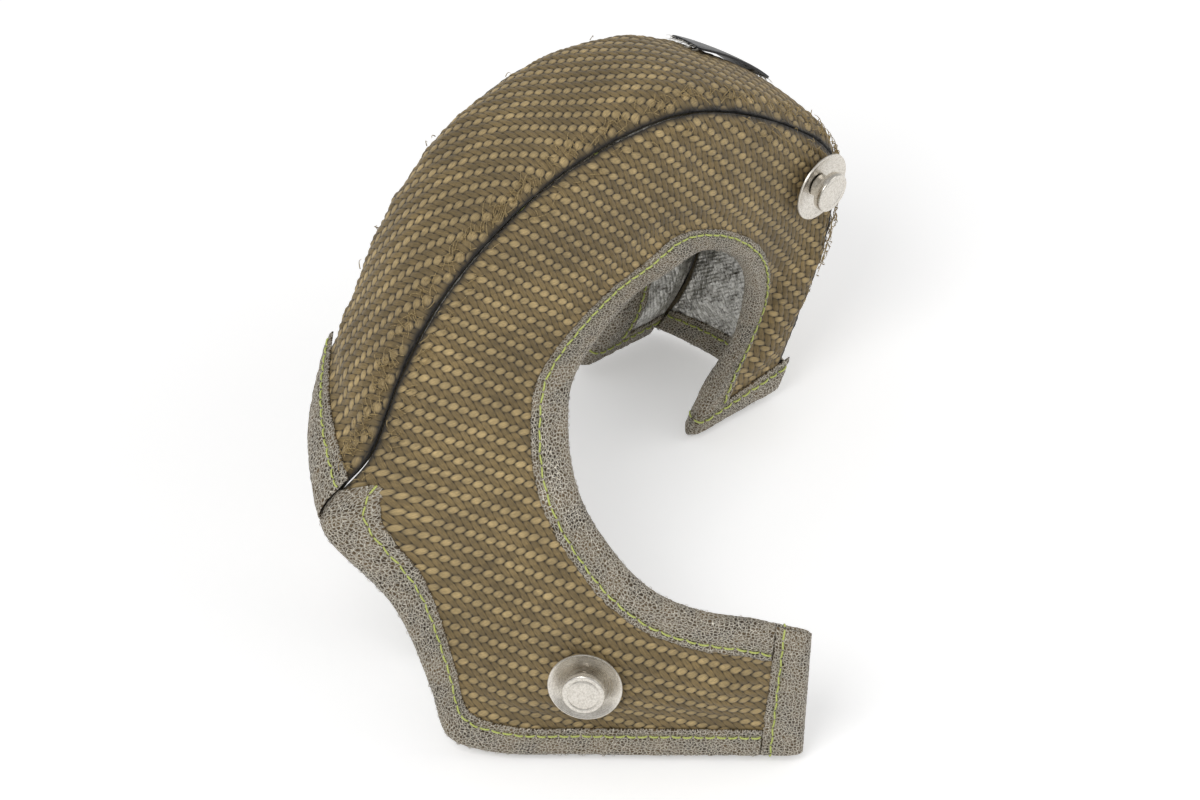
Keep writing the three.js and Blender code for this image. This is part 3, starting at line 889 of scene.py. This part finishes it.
@dataclass(frozen=True)
class StudSeat:
    """Where a lacing stud goes through a panel."""

    name: str
    panel: Panel
    at: float
    inset: float

    def frame(self) -> tuple[Array, Array]:
        """Seat point on the washers' level and the outward direction."""
        u = np.array([[self.at]])
        seat = self.panel.place(u, np.array([[self.inset]]), np.array([[WASHER_LEVEL]]))[0, 0]
        return seat, self.panel.frame(u).normal[0, 0]


SEATS = (
    StudSeat("lower_face", FACE, 3.46, 29.5),
    StudSeat("upper_face", FACE, 15.54, 12.2),
    StudSeat("left_rear", REAR, 1.3, 17.0),
    StudSeat("right_rear", REAR, 11.2, 14.0),
)


@dataclass
class QuiltedPanel:
    """One strip of the blanket: woven cover outside, felt between, creased foil inside."""

    name: str
    panel: Panel
    pattern: FlatPattern
    finishes: Finishes
    spacing: float = 0.46
    lining_spacing: float = 0.85
    puff: float = 2.2
    puff_run: float = 9.0
    hem: float = 11.5
    seam_drop: float = 1.1
    pucker: float = 0.9
    cover_thickness: float = 1.15
    felt_top: float = -2.35
    felt_under: float = -3.4
    lining_outer: float = -3.65
    lining_inner: float = -4.3
    weave: TwillWeave = field(default_factory=TwillWeave)

    def edges(self, u: Array, depth: Array | float, drop: float) -> dict[str, Array]:
        """Start and end of the cloth across the strip, and how each edge behaves.

        Args:
            u: stations of shape (n, 1).
            depth: depth of the layer at its sewn edge.
            drop: how far the cloth turns down into a seam.

        Returns:
            Start, end, flat hem widths and shares of seam at both edges.
        """
        p = self.panel
        width = p.frame(u).width
        found = {}
        for side, seam in ((Side.A, p.seam_a), (Side.B, p.seam_b)):
            if math.isinf(seam):
                share, per, gap = np.zeros_like(u), np.zeros_like(u), np.zeros_like(u)
            else:
                share = smooth((u - seam + 0.35) / 0.7) if seam > 0 else np.ones_like(u)
                per, gap = mitre(p, side, np.maximum(u, seam))
            inset = lerp(1.9, gap + (depth + drop) * per, share)
            hem = self.hem * (1 - (smooth((u - seam + 0.5) / 1.6) if seam > 0 else share))
            found[side.value] = inset
            found["hem_" + side.value] = hem
            found["seam_" + side.value] = share
        found["start"], found["end"] = found["a"], width - found["b"]
        return found

    def ends(self, u: Array) -> Array:
        """Share of the full swell near the strip's ends, where the tape holds it flat."""
        run = self.panel.from_first(u)
        near = np.minimum(run, self.panel.length - run)
        return smooth((near - self.hem) / self.puff_run)

    def profile(self, u: Array, x: Array, e: dict[str, Array]) -> tuple[Array, Array]:
        """Share of the full swell across the strip, and share of turned-down seam."""
        clear_a, clear_b = x - e["start"], e["end"] - x
        swell = smooth((clear_a - e["hem_a"] + 0.5) / self.puff_run)
        swell = swell * smooth((clear_b - e["hem_b"] + 0.5) / self.puff_run)
        turned = e["seam_a"] * (1 - smooth(clear_a / 3.4)) ** 1.5
        turned = turned + e["seam_b"] * (1 - smooth(clear_b / 3.4)) ** 1.5
        return swell * self.ends(u), turned

    def cover_height(self, u: Array, x: Array, e: dict[str, Array], flat: Array) -> Array:
        """Height of the cover: swell, seam turn, puckers, studs' seats, fold and relief.

        The face alone has the fold, a narrow valley across its upper part.

        Args:
            u: stations.
            x: distances from edge a.
            e: the strip's edges there.
            flat: flat coordinates.

        Returns:
            Height above the sewn-down surface, in millimetres.
        """
        swell, turned = self.profile(u, x, e)
        near = e["seam_a"] * np.exp(-((x - e["start"]) / 7.0) ** 2)
        near = near + e["seam_b"] * np.exp(-((e["end"] - x) / 7.0) ** 2)
        run = self.panel.from_first(u)
        tuck = value_noise(run / 5.5, 0 * run + self.pattern.at, 2.0)
        wave = fractal(flat[..., 0] / 34, flat[..., 1] / 34, 8.0, 2)
        d = self.puff * swell - self.seam_drop * turned + self.pucker * near * tuck * swell**0.3
        d = d + 0.45 * wave * swell + 0.25 * near * fractal(run / 2.1, x / 2.4, 4.0, 2)
        for seat in SEATS:
            if seat.panel is self.panel:
                centre, normal = seat.frame()
                away = self.panel.place(u, x, 0 * x + 2.2) - centre
                away = away - (away @ normal)[..., None] * normal
                r = np.linalg.norm(away, axis=-1)
                press = np.exp(-((r / 6.5) ** 2))
                d = d + press * (3.0 - d) * 0.9
        if self.panel is FACE:
            fold = np.exp(-(((u - 13.9 - (x - 12) * 0.012) / 0.13) ** 2))
            d = d - 1.3 * fold * smooth((x - 3) / 5) * smooth((26 - x) / 10)
        relief = self.weave.relief * (0.35 + 0.65 * smooth(swell * 3))
        return d + relief * self.weave.height(flat) * (1 + 0.25 * near)

    def build_cover(self) -> bpy.types.Object:
        """The woven cover: a fine top surface and a plain underside below it."""
        p = self.panel
        stations = p.at_distance(np.linspace(2.0, p.length - 2.0,
                                             int(p.length / self.spacing)))
        u = stations[:, None]
        e = self.edges(u, 0.0, self.seam_drop)
        count = int(float(np.median(p.frame(u).width)) / self.spacing)
        share = np.linspace(0, 1, count)[None, :]
        x = lerp(e["start"], e["end"], share)
        flat = self.pattern.coordinates(u, x)
        top = p.place(u, x, self.cover_height(u + 0 * x, x, e, flat))
        low = np.linspace(0, 1, 9)[None, :]
        under_e = self.edges(u, 0.0, self.seam_drop + 1.0)
        xu = lerp(under_e["start"], under_e["end"], low)
        swell, turned = self.profile(u, xu, under_e)
        under = p.place(u, xu, self.puff * swell - self.seam_drop * turned - self.cover_thickness)
        points, faces = ring_mesh(shell(top, under))
        uv = shell(flat, self.pattern.coordinates(u, xu)).reshape(-1, 2)
        # Painted shade: a narrow band along each sewn edge, full on the underside.
        depth = e["seam_a"] * np.exp(-(((x - e["start"]) / 1.1) ** 2))
        depth = depth + e["seam_b"] * np.exp(-(((e["end"] - x) / 1.1) ** 2))
        shade = shell(depth[..., None], np.ones(xu.shape + (1,))).ravel()
        piece = Piece(f"{self.name}_woven_cover", points, faces, self.finishes.cloth,
                      Slot.CLOTH, uv, np.clip(shade, 0, 1))
        obj = piece.build(f"{self.name}_cover")
        return obj

    def build_felt(self) -> bpy.types.Object:
        """The felt pad between cover and lining, which follows both at a small distance."""
        p = self.panel
        u = p.at_distance(np.linspace(2.4, p.length - 2.4, int(p.length / 1.6)))[:, None]
        e = self.edges(u, 2.6, 0.3)
        x = lerp(e["start"], e["end"], np.linspace(0, 1, 32)[None, :])
        swell, _ = self.profile(u, x, e)
        top = p.place(u, x, self.felt_top + 1.5 * swell)
        under = p.place(u, x, self.felt_under - 1.2 * swell)
        points, faces = ring_mesh(shell(top, under))
        piece = Piece(f"{self.name}_felt_pad", points, faces, self.finishes.felt, Slot.FELT)
        return piece.build(f"{self.name}_felt")

    def build_lining(self) -> bpy.types.Object:
        """The foil lining: creased inwards surface, 0.7 thick, held flat at its hems."""
        p = self.panel
        stations = p.at_distance(np.linspace(2.2, p.length - 2.2,
                                             int(p.length / self.lining_spacing)))
        u = stations[:, None]
        e = self.edges(u, 4.4, 0.0)
        count = int(float(np.median(p.frame(u).width)) / self.lining_spacing)
        x = lerp(e["start"], e["end"], np.linspace(0, 1, count)[None, :])
        flat = self.pattern.coordinates(u, x)
        swell, _ = self.profile(u, x, e)
        fold = 1 - np.abs(fractal(flat[..., 0] / 9, flat[..., 1] / 9, 21.0, 3))
        crease = 0.5 * (fold - 0.6) + 0.22 * fractal(flat[..., 0] / 3, flat[..., 1] / 3, 6.0, 2)
        inner = p.place(u, x, self.lining_inner - (2.3 + crease) * swell)
        outer = p.place(u, x, self.lining_outer - 2.15 * swell)
        points, faces = ring_mesh(shell(inner, outer))
        uv = shell(flat, flat).reshape(-1, 2)
        piece = Piece(f"{self.name}_creased_lining", points, faces, self.finishes.foil,
                      Slot.FOIL, uv)
        obj = piece.build(f"{self.name}_lining")
        size = (float(np.median(p.frame(u).width)) * MM, p.length * MM)
        rules = np.linalg.norm(np.diff(p.place(u, x, 0 * x - 4), axis=1), axis=-1).sum(1)
        steps = np.linalg.norm(np.diff(p.middle(u)[:, 0], axis=0), axis=1)
        return obj


# Bindings and stitches


@dataclass
class Binding:
    """Knitted wire tape folded over a free edge, with its row of stitches on both faces."""

    name: str
    node: str
    panel: Panel
    finishes: Finishes
    side: Side | None
    first: float
    last: float
    width: float = 10.4
    top: float = 0.95
    bottom: float = -5.0
    wall: float = 0.45
    stitch_at: float = 8.0
    stitch_pitch: float = 3.1
    spacing: float = 0.6

    def section(self, inner: float) -> tuple[Array, Array]:
        """Cross-section from the outer lip, round the fold, to the inner lip.

        The fold is half an ellipse. The flat runs dip at the stitches and turn down at the
        lips.

        Args:
            inner: how far inside the tape's outer surface the line runs.

        Returns:
            Distances in from the edge and heights.
        """
        r = 2.7
        flat = np.linspace(self.width, r, 16)
        angle = np.linspace(np.pi / 2, 3 * np.pi / 2, 17)[1:-1]
        middle, half = (self.top + self.bottom) / 2, (self.top - self.bottom) / 2 - inner
        dip = 0.28 * np.exp(-(((flat - self.stitch_at) / 0.8) ** 2))
        lip = 0.3 * smooth((flat - self.width + 0.9) / 0.9)
        high = middle + half - dip - lip
        low = middle - half + dip + lip
        x = np.concatenate([flat, r + (r - inner) * np.cos(angle), flat[::-1]])
        d = np.concatenate([high, middle + half * np.sin(angle), low[::-1]])
        return x, d

    def spot(self, along: Array, x: Array, d: Array) -> Array:
        """Points at a distance along the tape, x in from the cloth's edge and d high.

        Along a side the tape follows the stations. Over an end it follows the rules, and x
        steps along the strip instead.
        """
        p = self.panel
        along, x, d = np.broadcast_arrays(along, x, d)
        if self.side is not None:
            w = p.frame(along).width
            return p.place(along, x if self.side is Side.A else w - x, d)
        run = x if self.first < (p.first + p.last) / 2 else p.length - x
        u = p.at_distance(run)
        w = p.frame(u).width
        a = self.trim(Side.A, u, d)
        far = w - self.trim(Side.B, u, d)
        middle = (self.top + self.bottom) / 2
        for side, near in ((Side.A, along * (far - a)), (Side.B, (1 - along) * (far - a))):
            if not self.sewn(side):
                close = np.sqrt(np.clip(1 - np.clip(1 - near / 2.6, 0, 1) ** 2, 0.001, 1))
                d = middle + (d - middle) * close
        return p.place(u, lerp(a, far, along), d)

    def sewn(self, side: Side) -> bool:
        """True where a sewn seam runs beside the end that the tape covers."""
        seam = self.panel.seam_a if side is Side.A else self.panel.seam_b
        return not math.isinf(seam) and self.first >= seam - 0.4

    def trim(self, side: Side, u: Array, d: Array) -> Array:
        """How far a tape over an end stops short of a seam beside it."""
        seam = self.panel.seam_a if side is Side.A else self.panel.seam_b
        if math.isinf(seam) or float(np.min(u)) < seam - 0.4:
            return 0 * u
        per, gap = mitre(self.panel, side, u)
        return gap - 0.3 + np.maximum(0, -d) * per

    def rows(self) -> tuple[Array, Array]:
        """Positions along the tape and their distances in millimetres."""
        if self.side is not None:
            grid = np.linspace(self.first, self.last, 2001)
            edge = self.panel.a(grid) if self.side is Side.A else self.panel.b(grid)
        else:
            grid = np.linspace(0, 1, 2001)
            edge = self.spot(grid[:, None], np.array([[4.0]]), np.array([[0.0]]))[:, 0]
        run = np.concatenate([[0], np.cumsum(np.linalg.norm(np.diff(edge, axis=0), axis=1))])
        count = max(6, int(run[-1] / self.spacing))
        want = np.linspace(0, run[-1], count)
        return np.interp(want, run, grid), want

    def build_tape(self) -> bpy.types.Object:
        """The tape: its outer surface puckers between stitches, and its lips are uneven."""
        along, run = self.rows()
        x, d = self.section(0.0)
        xi, di = self.section(self.wall)
        phase = np.abs(np.sin(np.pi * run / self.stitch_pitch))[:, None]
        close = np.exp(-(((x - self.stitch_at) / 1.6) ** 2))[None, :]
        lip = smooth((x - self.width + 2.0) / 2.0)[None, :]
        side = np.where(d > (self.top + self.bottom) / 2, 1.0, -1.0)[None, :]
        rough = 0.16 * fractal(run[:, None] / 1.3, np.arange(len(x))[None, :] / 1.9, 3.0, 2)
        rise = side * (0.2 * close * (phase - 0.5) + rough)
        edge = 0.3 * lip * fractal(run[:, None] / 1.7, 0 * x[None, :] + 2.0, 12.0, 2)
        outer = self.spot(along[:, None], x[None, :] + edge, d[None, :] + rise)
        inner = self.spot(along[:, None], xi[None, :], di[None, :] + 0 * rise)
        points, faces = ring_mesh(shell(outer, inner))
        girth = np.concatenate([[0], np.cumsum(np.hypot(np.diff(x), np.diff(d)))])
        flat = np.stack(np.broadcast_arrays(run[:, None], girth[None, :]), -1)
        uv = shell(flat, flat).reshape(-1, 2)
        piece = Piece(f"{self.name}_tape", points, faces, self.finishes.tape, Slot.TAPE, uv)
        return piece.build(self.node)

    def build_stitches(self) -> bpy.types.Object:
        """Stitches: short arcs of thread, each a little askew, that dip into the tape."""
        along, run = self.rows()
        count = int(run[-1] / self.stitch_pitch)
        centre = (np.arange(count) + 0.5) * run[-1] / count
        t = np.linspace(-1, 1, 7)[None, :]
        place = np.interp(centre[:, None] + t * 1.22, run, along)
        lean = np.where(np.arange(count) % 2, 0.14, -0.14)[:, None]
        shake = 0.12 * (scatter(np.arange(count), 0 * centre, 4.0) - 0.5)[:, None]
        x = self.stitch_at + lean * t + shake
        arch = 0.5 * (1 - t**4) - 0.3
        sets = [self.spot(place, x, self.top + arch), self.spot(place, x, self.bottom - arch)]
        points, faces = tubes(np.concatenate(sets), 0.27, 5)
        piece = Piece(f"{self.name}_stitches", points, faces, self.finishes.thread, Slot.TAPE)
        return piece.build()

    def build_loops(self) -> bpy.types.Object:
        """Loops of mesh wire that stand out of the fold: small half rings, seeded."""
        along, run = self.rows()
        count = int(run[-1] / 0.9)
        rng = np.random.default_rng(len(self.name) * 7 + count)
        where = rng.uniform(0.5, run[-1] - 0.5, count)[:, None]
        t = np.linspace(0, np.pi, 7)[None, :]
        place = np.interp(where + 0.45 * np.cos(t), run, along)
        level = rng.uniform(self.bottom + 0.7, self.top - 0.6, count)[:, None]
        lean = rng.uniform(-0.5, 0.5, count)[:, None]
        middle, half = (self.top + self.bottom) / 2, (self.top - self.bottom) / 2
        fold = 2.7 * (1 - np.sqrt(np.maximum(0, 1 - ((level - middle) / half) ** 2)))
        reach = rng.uniform(0.25, 0.6, count)[:, None]
        paths = self.spot(place, fold + 0.15 - reach * np.sin(t), level + lean * np.sin(t))
        points, faces = tubes(paths, 0.07, 3)
        return Piece(f"{self.name}_wire_loops", points, faces, self.finishes.wire,
                     Slot.TAPE).build()


# Loose fibres


@dataclass
class SeamFray:
    """Loose fibres and thread loops that stand up along a sewn seam."""

    name: str
    panel: Panel
    side: Side
    first: float
    last: float
    finishes: Finishes
    count: int = 420
    seed: int = 11

    def build(self) -> bpy.types.Object:
        """Fibres: arcs that leave the seam, lean over the cloth and curl at the end."""
        rng = np.random.default_rng(self.seed)
        u = rng.uniform(self.first, self.last, self.count)[:, None]
        t = np.linspace(0, 1, 8)[None, :]
        reach = rng.uniform(0.8, 4.2, self.count)[:, None] * rng.uniform(0.4, 1, self.count)[:, None]
        drift = rng.uniform(-0.16, 0.16, self.count)[:, None]
        curl = rng.uniform(-0.9, 0.9, self.count)[:, None]
        start = rng.uniform(1.2, 6.0, self.count)[:, None]
        x = start + reach * t * 0.8 + curl * np.sin(3.0 * t)
        if self.side is Side.B:
            x = self.panel.frame(u).width - x
        away = np.abs(x) if self.side is Side.A else self.panel.frame(u).width - x
        base = 2.2 * smooth(away / 9.0) - 0.35 * np.exp(-away)
        lift = rng.uniform(0.4, 1.5, self.count)[:, None]
        paths = self.panel.place(u + drift * t, x, base + 0.1 + lift * np.sin(np.pi * t * 0.8))
        points, faces = tubes(paths, np.linspace(0.15, 0.06, 8), 4)
        return Piece(self.name, points, faces, self.finishes.fray, Slot.CLOTH).build()


# Hardware


@dataclass
class LacingStud:
    """Capstan stud on a dished washer, with a backing washer inside the blanket."""

    seat: StudSeat
    finishes: Finishes
    segments: int = 72

    def turned(self, profile: list[tuple[float, float]]) -> tuple[Array, list, Array]:
        """Turned body: the profile's radius round the stud's axis, height along it.

        Args:
            profile: closed line of radius and height pairs, in millimetres.

        Returns:
            Points, faces and flat coordinates (radius, angle).
        """
        centre, axis = self.seat.frame()
        helper = np.array([0.0, 0.0, 1.0]) if abs(axis[2]) < 0.9 else np.array([1.0, 0.0, 0.0])
        one = unit(np.cross(axis, helper))
        two = np.cross(axis, one)
        line = np.array(profile)
        angle = np.arange(self.segments) * 2 * np.pi / self.segments
        spin = one * np.cos(angle)[:, None] + two * np.sin(angle)[:, None]
        rows = (centre + spin[:, None] * line[None, :, :1] + axis * line[None, :, 1:])
        n, m = rows.shape[:2]
        index = np.arange(n * m).reshape(n, m)
        there = np.roll(index, -1, 0)
        quads = np.stack([index, np.roll(index, -1, 1), np.roll(there, -1, 1), there], -1)
        reach = np.hypot(line[:, 0], 0.8 * line[:, 1])
        flat = np.stack(np.broadcast_arrays(reach[None, :], 10 * angle[:, None]), -1)
        return rows.reshape(-1, 3), quads.reshape(-1, 4).tolist(), flat.reshape(-1, 2)

    def piece(self, kind: str, profile: list[tuple[float, float]],
              finish: bpy.types.Material) -> bpy.types.Object:
        """One turned piece that stands for its CAD node."""
        points, faces, flat = self.turned(profile)
        made = Piece(f"{self.seat.name}_turned_{kind}", points, faces, finish, Slot.STEEL, flat,
                     sharp=38)
        return made.build(f"{self.seat.name}_{kind}")

    def round(self, r: float, y: float, size: float, quarter: int) -> list[tuple[float, float]]:
        """Rounded corner of a profile: a quarter circle of the given size."""
        angle = np.linspace(0, np.pi / 2, 5) + quarter * np.pi / 2
        return [(r + size * math.cos(a), y + size * math.sin(a)) for a in angle]

    def build(self) -> None:
        """Stud, dished washer and backing washer."""
        head, top, foot = 5.75, 6.5, 4.1
        crown = [(4.55, top - 0.02), (4.3, top - 0.16), (4.05, top - 0.02), (2.4, top - 0.05),
                 (1.3, top - 0.12), (0.7, top - 0.06), (0.02, top - 0.1)]
        stud = [(0.02, -12.6), (2.4, -12.6), (2.4, -11.7), (2.0, -11.6), (2.0, 1.0), (3.3, 1.15),
                (3.3, 1.6), (3.1, 2.2), (3.15, foot - 0.4), (3.5, foot)]
        stud += [(head - 0.5, foot), (head - 0.12, foot + 0.12), (head, foot + 0.5)]
        stud += self.round(head - 0.45, top - 0.45, 0.45, 0) + crown
        self.piece("stud", stud, self.finishes.head)
        washer = [(2.3, 0.0), (4.4, 0.02), (5.6, 0.16), (6.8, 0.5), (8.0, 0.98), (9.1, 1.5),
                  (9.75, 1.86), (10.0, 2.15), (9.93, 2.45), (9.7, 2.55), (9.35, 2.42),
                  (8.6, 2.05), (7.6, 1.58), (6.5, 1.14), (5.4, 0.86), (4.4, 0.8), (2.3, 0.8)]
        self.piece("washer", washer, self.finishes.steel)
        inner_cloth, bulge, play, thick = 5.4, 1.6, 0.6, 1.0
        low = -(WASHER_LEVEL + bulge + inner_cloth + play) - thick
        backing = [(2.3, low), (4.8, low), (5.0, low + 0.2), (5.0, low + 0.8),
                   (4.8, low + thick), (2.3, low + thick)]
        self.piece("backing_washer", backing, self.finishes.steel)


@dataclass
class LabelPlate:
    """Bare black plate on the far side of the crown, with threads at its ends."""

    finishes: Finishes
    at: float = 14.9
    length: float = 33.0
    width: float = 15.0
    from_seam: float = 29.0
    level: float = 3.25
    thickness: float = 0.8

    def spot(self, along: Array, across: Array, d: Array) -> Array:
        """Points on the crown, from the plate's middle, in millimetres."""
        base = CROWN.from_first(np.array(self.at))
        u = CROWN.at_distance(base + along)
        return CROWN.place(u, self.from_seam + self.width / 2 + across, d)

    def build_plate(self) -> bpy.types.Object:
        """Plate with round corners: the width shrinks near the ends as a quarter circle."""
        r = 1.6
        t = np.concatenate([np.sin(np.linspace(-np.pi / 2, 0, 9)) * r - self.length / 2 + r,
                            np.linspace(-self.length / 2 + r, self.length / 2 - r, 40)[1:-1],
                            np.sin(np.linspace(0, np.pi / 2, 9)) * r + self.length / 2 - r])
        over = np.maximum(0, np.abs(t) - (self.length / 2 - r))
        half = self.width / 2 - r + np.sqrt(np.maximum(0, r * r - over * over))
        s = np.linspace(-1, 1, 15)[None, :]
        across = np.maximum(half, 0.2)[:, None] * s
        bevel = 0.14 * np.maximum(np.abs(s) > 0.99, (over > r * 0.95)[:, None])
        top = self.spot(t[:, None], across, self.level + self.thickness - bevel)
        low = self.spot(t[:, None], across, self.level + 0 * across)
        points, faces = ring_mesh(shell(top, low))
        flat = np.stack(np.broadcast_arrays(t[:, None], across), -1)
        piece = Piece("bare_label_plate", points, faces, self.finishes.black, Slot.BLACK,
                      shell(flat, flat).reshape(-1, 2), sharp=40)
        return piece.build("label_plate")

    def build_threads(self) -> bpy.types.Object:
        """White threads that hang out from under both ends of the plate."""
        rng = np.random.default_rng(5)
        count = 70
        end = np.where(rng.uniform(size=count) < 0.5, -1.0, 1.0)[:, None]
        t = np.linspace(0, 1, 8)[None, :]
        reach = rng.uniform(0.8, 3.4, count)[:, None]
        along = end * (self.length / 2 - 1.0 + reach * t)
        side = rng.uniform(-self.width / 2 + 0.5, self.width / 2 - 0.5, count)[:, None]
        across = side + rng.uniform(-1.2, 1.2, count)[:, None] * t * t
        lift = rng.uniform(-0.3, 0.9, count)[:, None]
        d = self.level - 0.1 + lift * np.sin(np.pi * t * 0.7) - 0.4 * t
        points, faces = tubes(self.spot(along, across, d), np.linspace(0.11, 0.05, 8), 4)
        return Piece("label_end_threads", points, faces, self.finishes.white, Slot.BLACK).build()


# Studio


@dataclass
class Studio:
    """Pale floor, soft lights and the camera at the photograph's angle."""

    place: tuple[float, float, float] = (-0.55929, -1.52489, 1.4677)
    target: tuple[float, float, float] = (-0.015862, -0.031998, 0.086741)
    lens: float = 240.0
    sky: float = 0.52

    def build_camera(self) -> None:
        """Long lens, without shift or depth of field."""
        data = bpy.data.cameras.new("view")
        data.sensor_fit, data.sensor_width, data.lens = "HORIZONTAL", 36.0, self.lens
        data.clip_start, data.clip_end = 0.05, 20.0
        camera = bpy.data.objects.new("view", data)
        camera.location = self.place
        aim = Vector(self.target) - Vector(self.place)
        camera.rotation_mode = "QUATERNION"
        camera.rotation_quaternion = aim.to_track_quat("-Z", "Y")
        bpy.context.scene.collection.objects.link(camera)
        bpy.context.scene.camera = camera

    def build_floor(self) -> bpy.types.Object:
        """White floor that keeps the shadow, lifted a little for camera and glossy rays."""
        mesh = bpy.data.meshes.new("studio_floor")
        size = 6.0
        mesh.from_pydata([(-size, -size, -0.0001), (size, -size, -0.0001),
                          (size, size, -0.0001), (-size, size, -0.0001)], [], [(0, 1, 2, 3)])
        floor = bpy.data.objects.new("studio_floor", mesh)
        bpy.context.scene.collection.objects.link(floor)
        k = NodeKit("white_floor")
        path = k.node("ShaderNodeLightPath", {})
        seen = k.math("MAXIMUM", path.outputs["Is Camera Ray"], path.outputs["Is Glossy Ray"])
        k.finish(Base_Color=(0.9, 0.9, 0.9, 1.0), Roughness=0.9, Specular_IOR_Level=0.0,
                 Emission_Color=(1.0, 1.0, 1.0, 1.0),
                 Emission_Strength=k.math("MULTIPLY", seen, 0.34))
        mesh.materials.append(k.material)
        return floor

    def build_light(self, name: str, place: tuple[float, float, float], size: float,
                    watts: float) -> None:
        """Square soft light aimed at the blanket, with its size in metres."""
        data = bpy.data.lights.new(name, "AREA")
        data.shape, data.size, data.energy = "SQUARE", size, watts
        lamp = bpy.data.objects.new(name, data)
        lamp.location = place
        lamp.rotation_mode = "QUATERNION"
        aim = Vector((0.0, 0.0, 0.06)) - Vector(place)
        lamp.rotation_quaternion = aim.to_track_quat("-Z", "Y")
        bpy.context.scene.collection.objects.link(lamp)

    def build_world(self) -> None:
        """Even white surroundings, full white only where the camera sees them."""
        world = bpy.data.worlds.new("studio")
        world.use_nodes = True
        tree = world.node_tree
        background = tree.nodes["Background"]
        background.inputs[0].default_value = (1.0, 1.0, 1.0, 1.0)
        path = tree.nodes.new("ShaderNodeLightPath")
        mix = tree.nodes.new("ShaderNodeMapRange")
        tree.links.new(path.outputs["Is Camera Ray"], mix.inputs[0])
        mix.inputs[3].default_value, mix.inputs[4].default_value = self.sky, 1.0
        tree.links.new(mix.outputs[0], background.inputs[1])
        bpy.context.scene.world = world

    def build(self) -> None:
        """Everything round the object."""
        self.build_camera()
        self.build_floor()
        self.build_world()
        self.build_light("key", (-0.75, -0.7, 1.35), 0.7, 9.0)
        self.build_light("fill", (1.2, -0.4, 0.9), 0.9, 3.0)
        bpy.context.scene.view_settings.view_transform = "Standard"


# The blanket


def bindings(finishes: Finishes) -> list[Binding]:
    """Every binding, with the stations between which it runs."""

    def butt(panel: Panel) -> tuple[float, float]:
        """Stations at which side tapes meet the tapes over the ends."""
        ends = panel.at_distance(np.array([10.6, panel.length - 10.6]))
        return float(ends[0]), float(ends[1])

    face, rear = butt(FACE), butt(REAR)
    rows = [
        ("face_opening", "face_opening_binding", FACE, Side.B, *face),
        ("long_leg_side", "long_leg_side_binding", FACE, Side.A, face[0], 8.5),
        ("long_leg_end", "long_leg_end_binding", FACE, None, 0.0, 0.0),
        ("short_leg_foot", "short_leg_foot_binding", FACE, None, 19.0, 19.0),
        ("crown_left", "crown_left_binding", CROWN, None, CROWN.first, CROWN.first),
        ("crown_right", "crown_right_binding", CROWN, None, 19.0, 19.0),
        ("rear_opening", "rear_opening_binding", REAR, Side.B, *rear),
        ("rear_left_side", "rear_left_side_binding", REAR, Side.A, rear[0], 3.1),
        ("rear_left_foot", "rear_left_foot_binding", REAR, None, 0.0, 0.0),
        ("rear_right_foot", "rear_right_foot_binding", REAR, None, 14.0, 14.0),
    ]
    return [Binding(name, node, panel, finishes, side, u0, u1)
            for name, node, panel, side, u0, u1 in rows]


def main() -> None:
    """Builds every piece in order and reports each one."""
    logging.basicConfig(level=logging.INFO, format="%(name)s %(message)s")
    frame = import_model()
    Studio().build()
    finishes = Finishes()
    log.info("%d CAD nodes", len(frame["nodes"]))
    panels = (
        QuiltedPanel("face", FACE, FlatPattern(FACE, -47.0, 2.0, 15.0), finishes),
        QuiltedPanel("crown", CROWN, FlatPattern(CROWN, -48.0, 10.0), finishes),
        QuiltedPanel("rear", REAR, FlatPattern(REAR, -40.0, 7.0), finishes, spacing=0.6),
    )
    for panel in panels:
        panel.build_cover()
        panel.build_felt()
        panel.build_lining()
    for binding in bindings(finishes):
        binding.build_tape()
        binding.build_stitches()
        binding.build_loops()
    for seat in SEATS:
        LacingStud(seat, finishes).build()
    plate = LabelPlate(finishes)
    plate.build_plate()
    plate.build_threads()
    SeamFray("front_seam_fray", CROWN, Side.A, 8.6, 18.0, finishes).build()
    SeamFray("front_seam_fray_face", FACE, Side.A, 8.6, 17.5, finishes, 120, 12).build()
    SeamFray("rear_seam_fray", CROWN, Side.B, 10.0, 16.0, finishes, 14, 13).build()


if __name__ == "__main__":
    main()
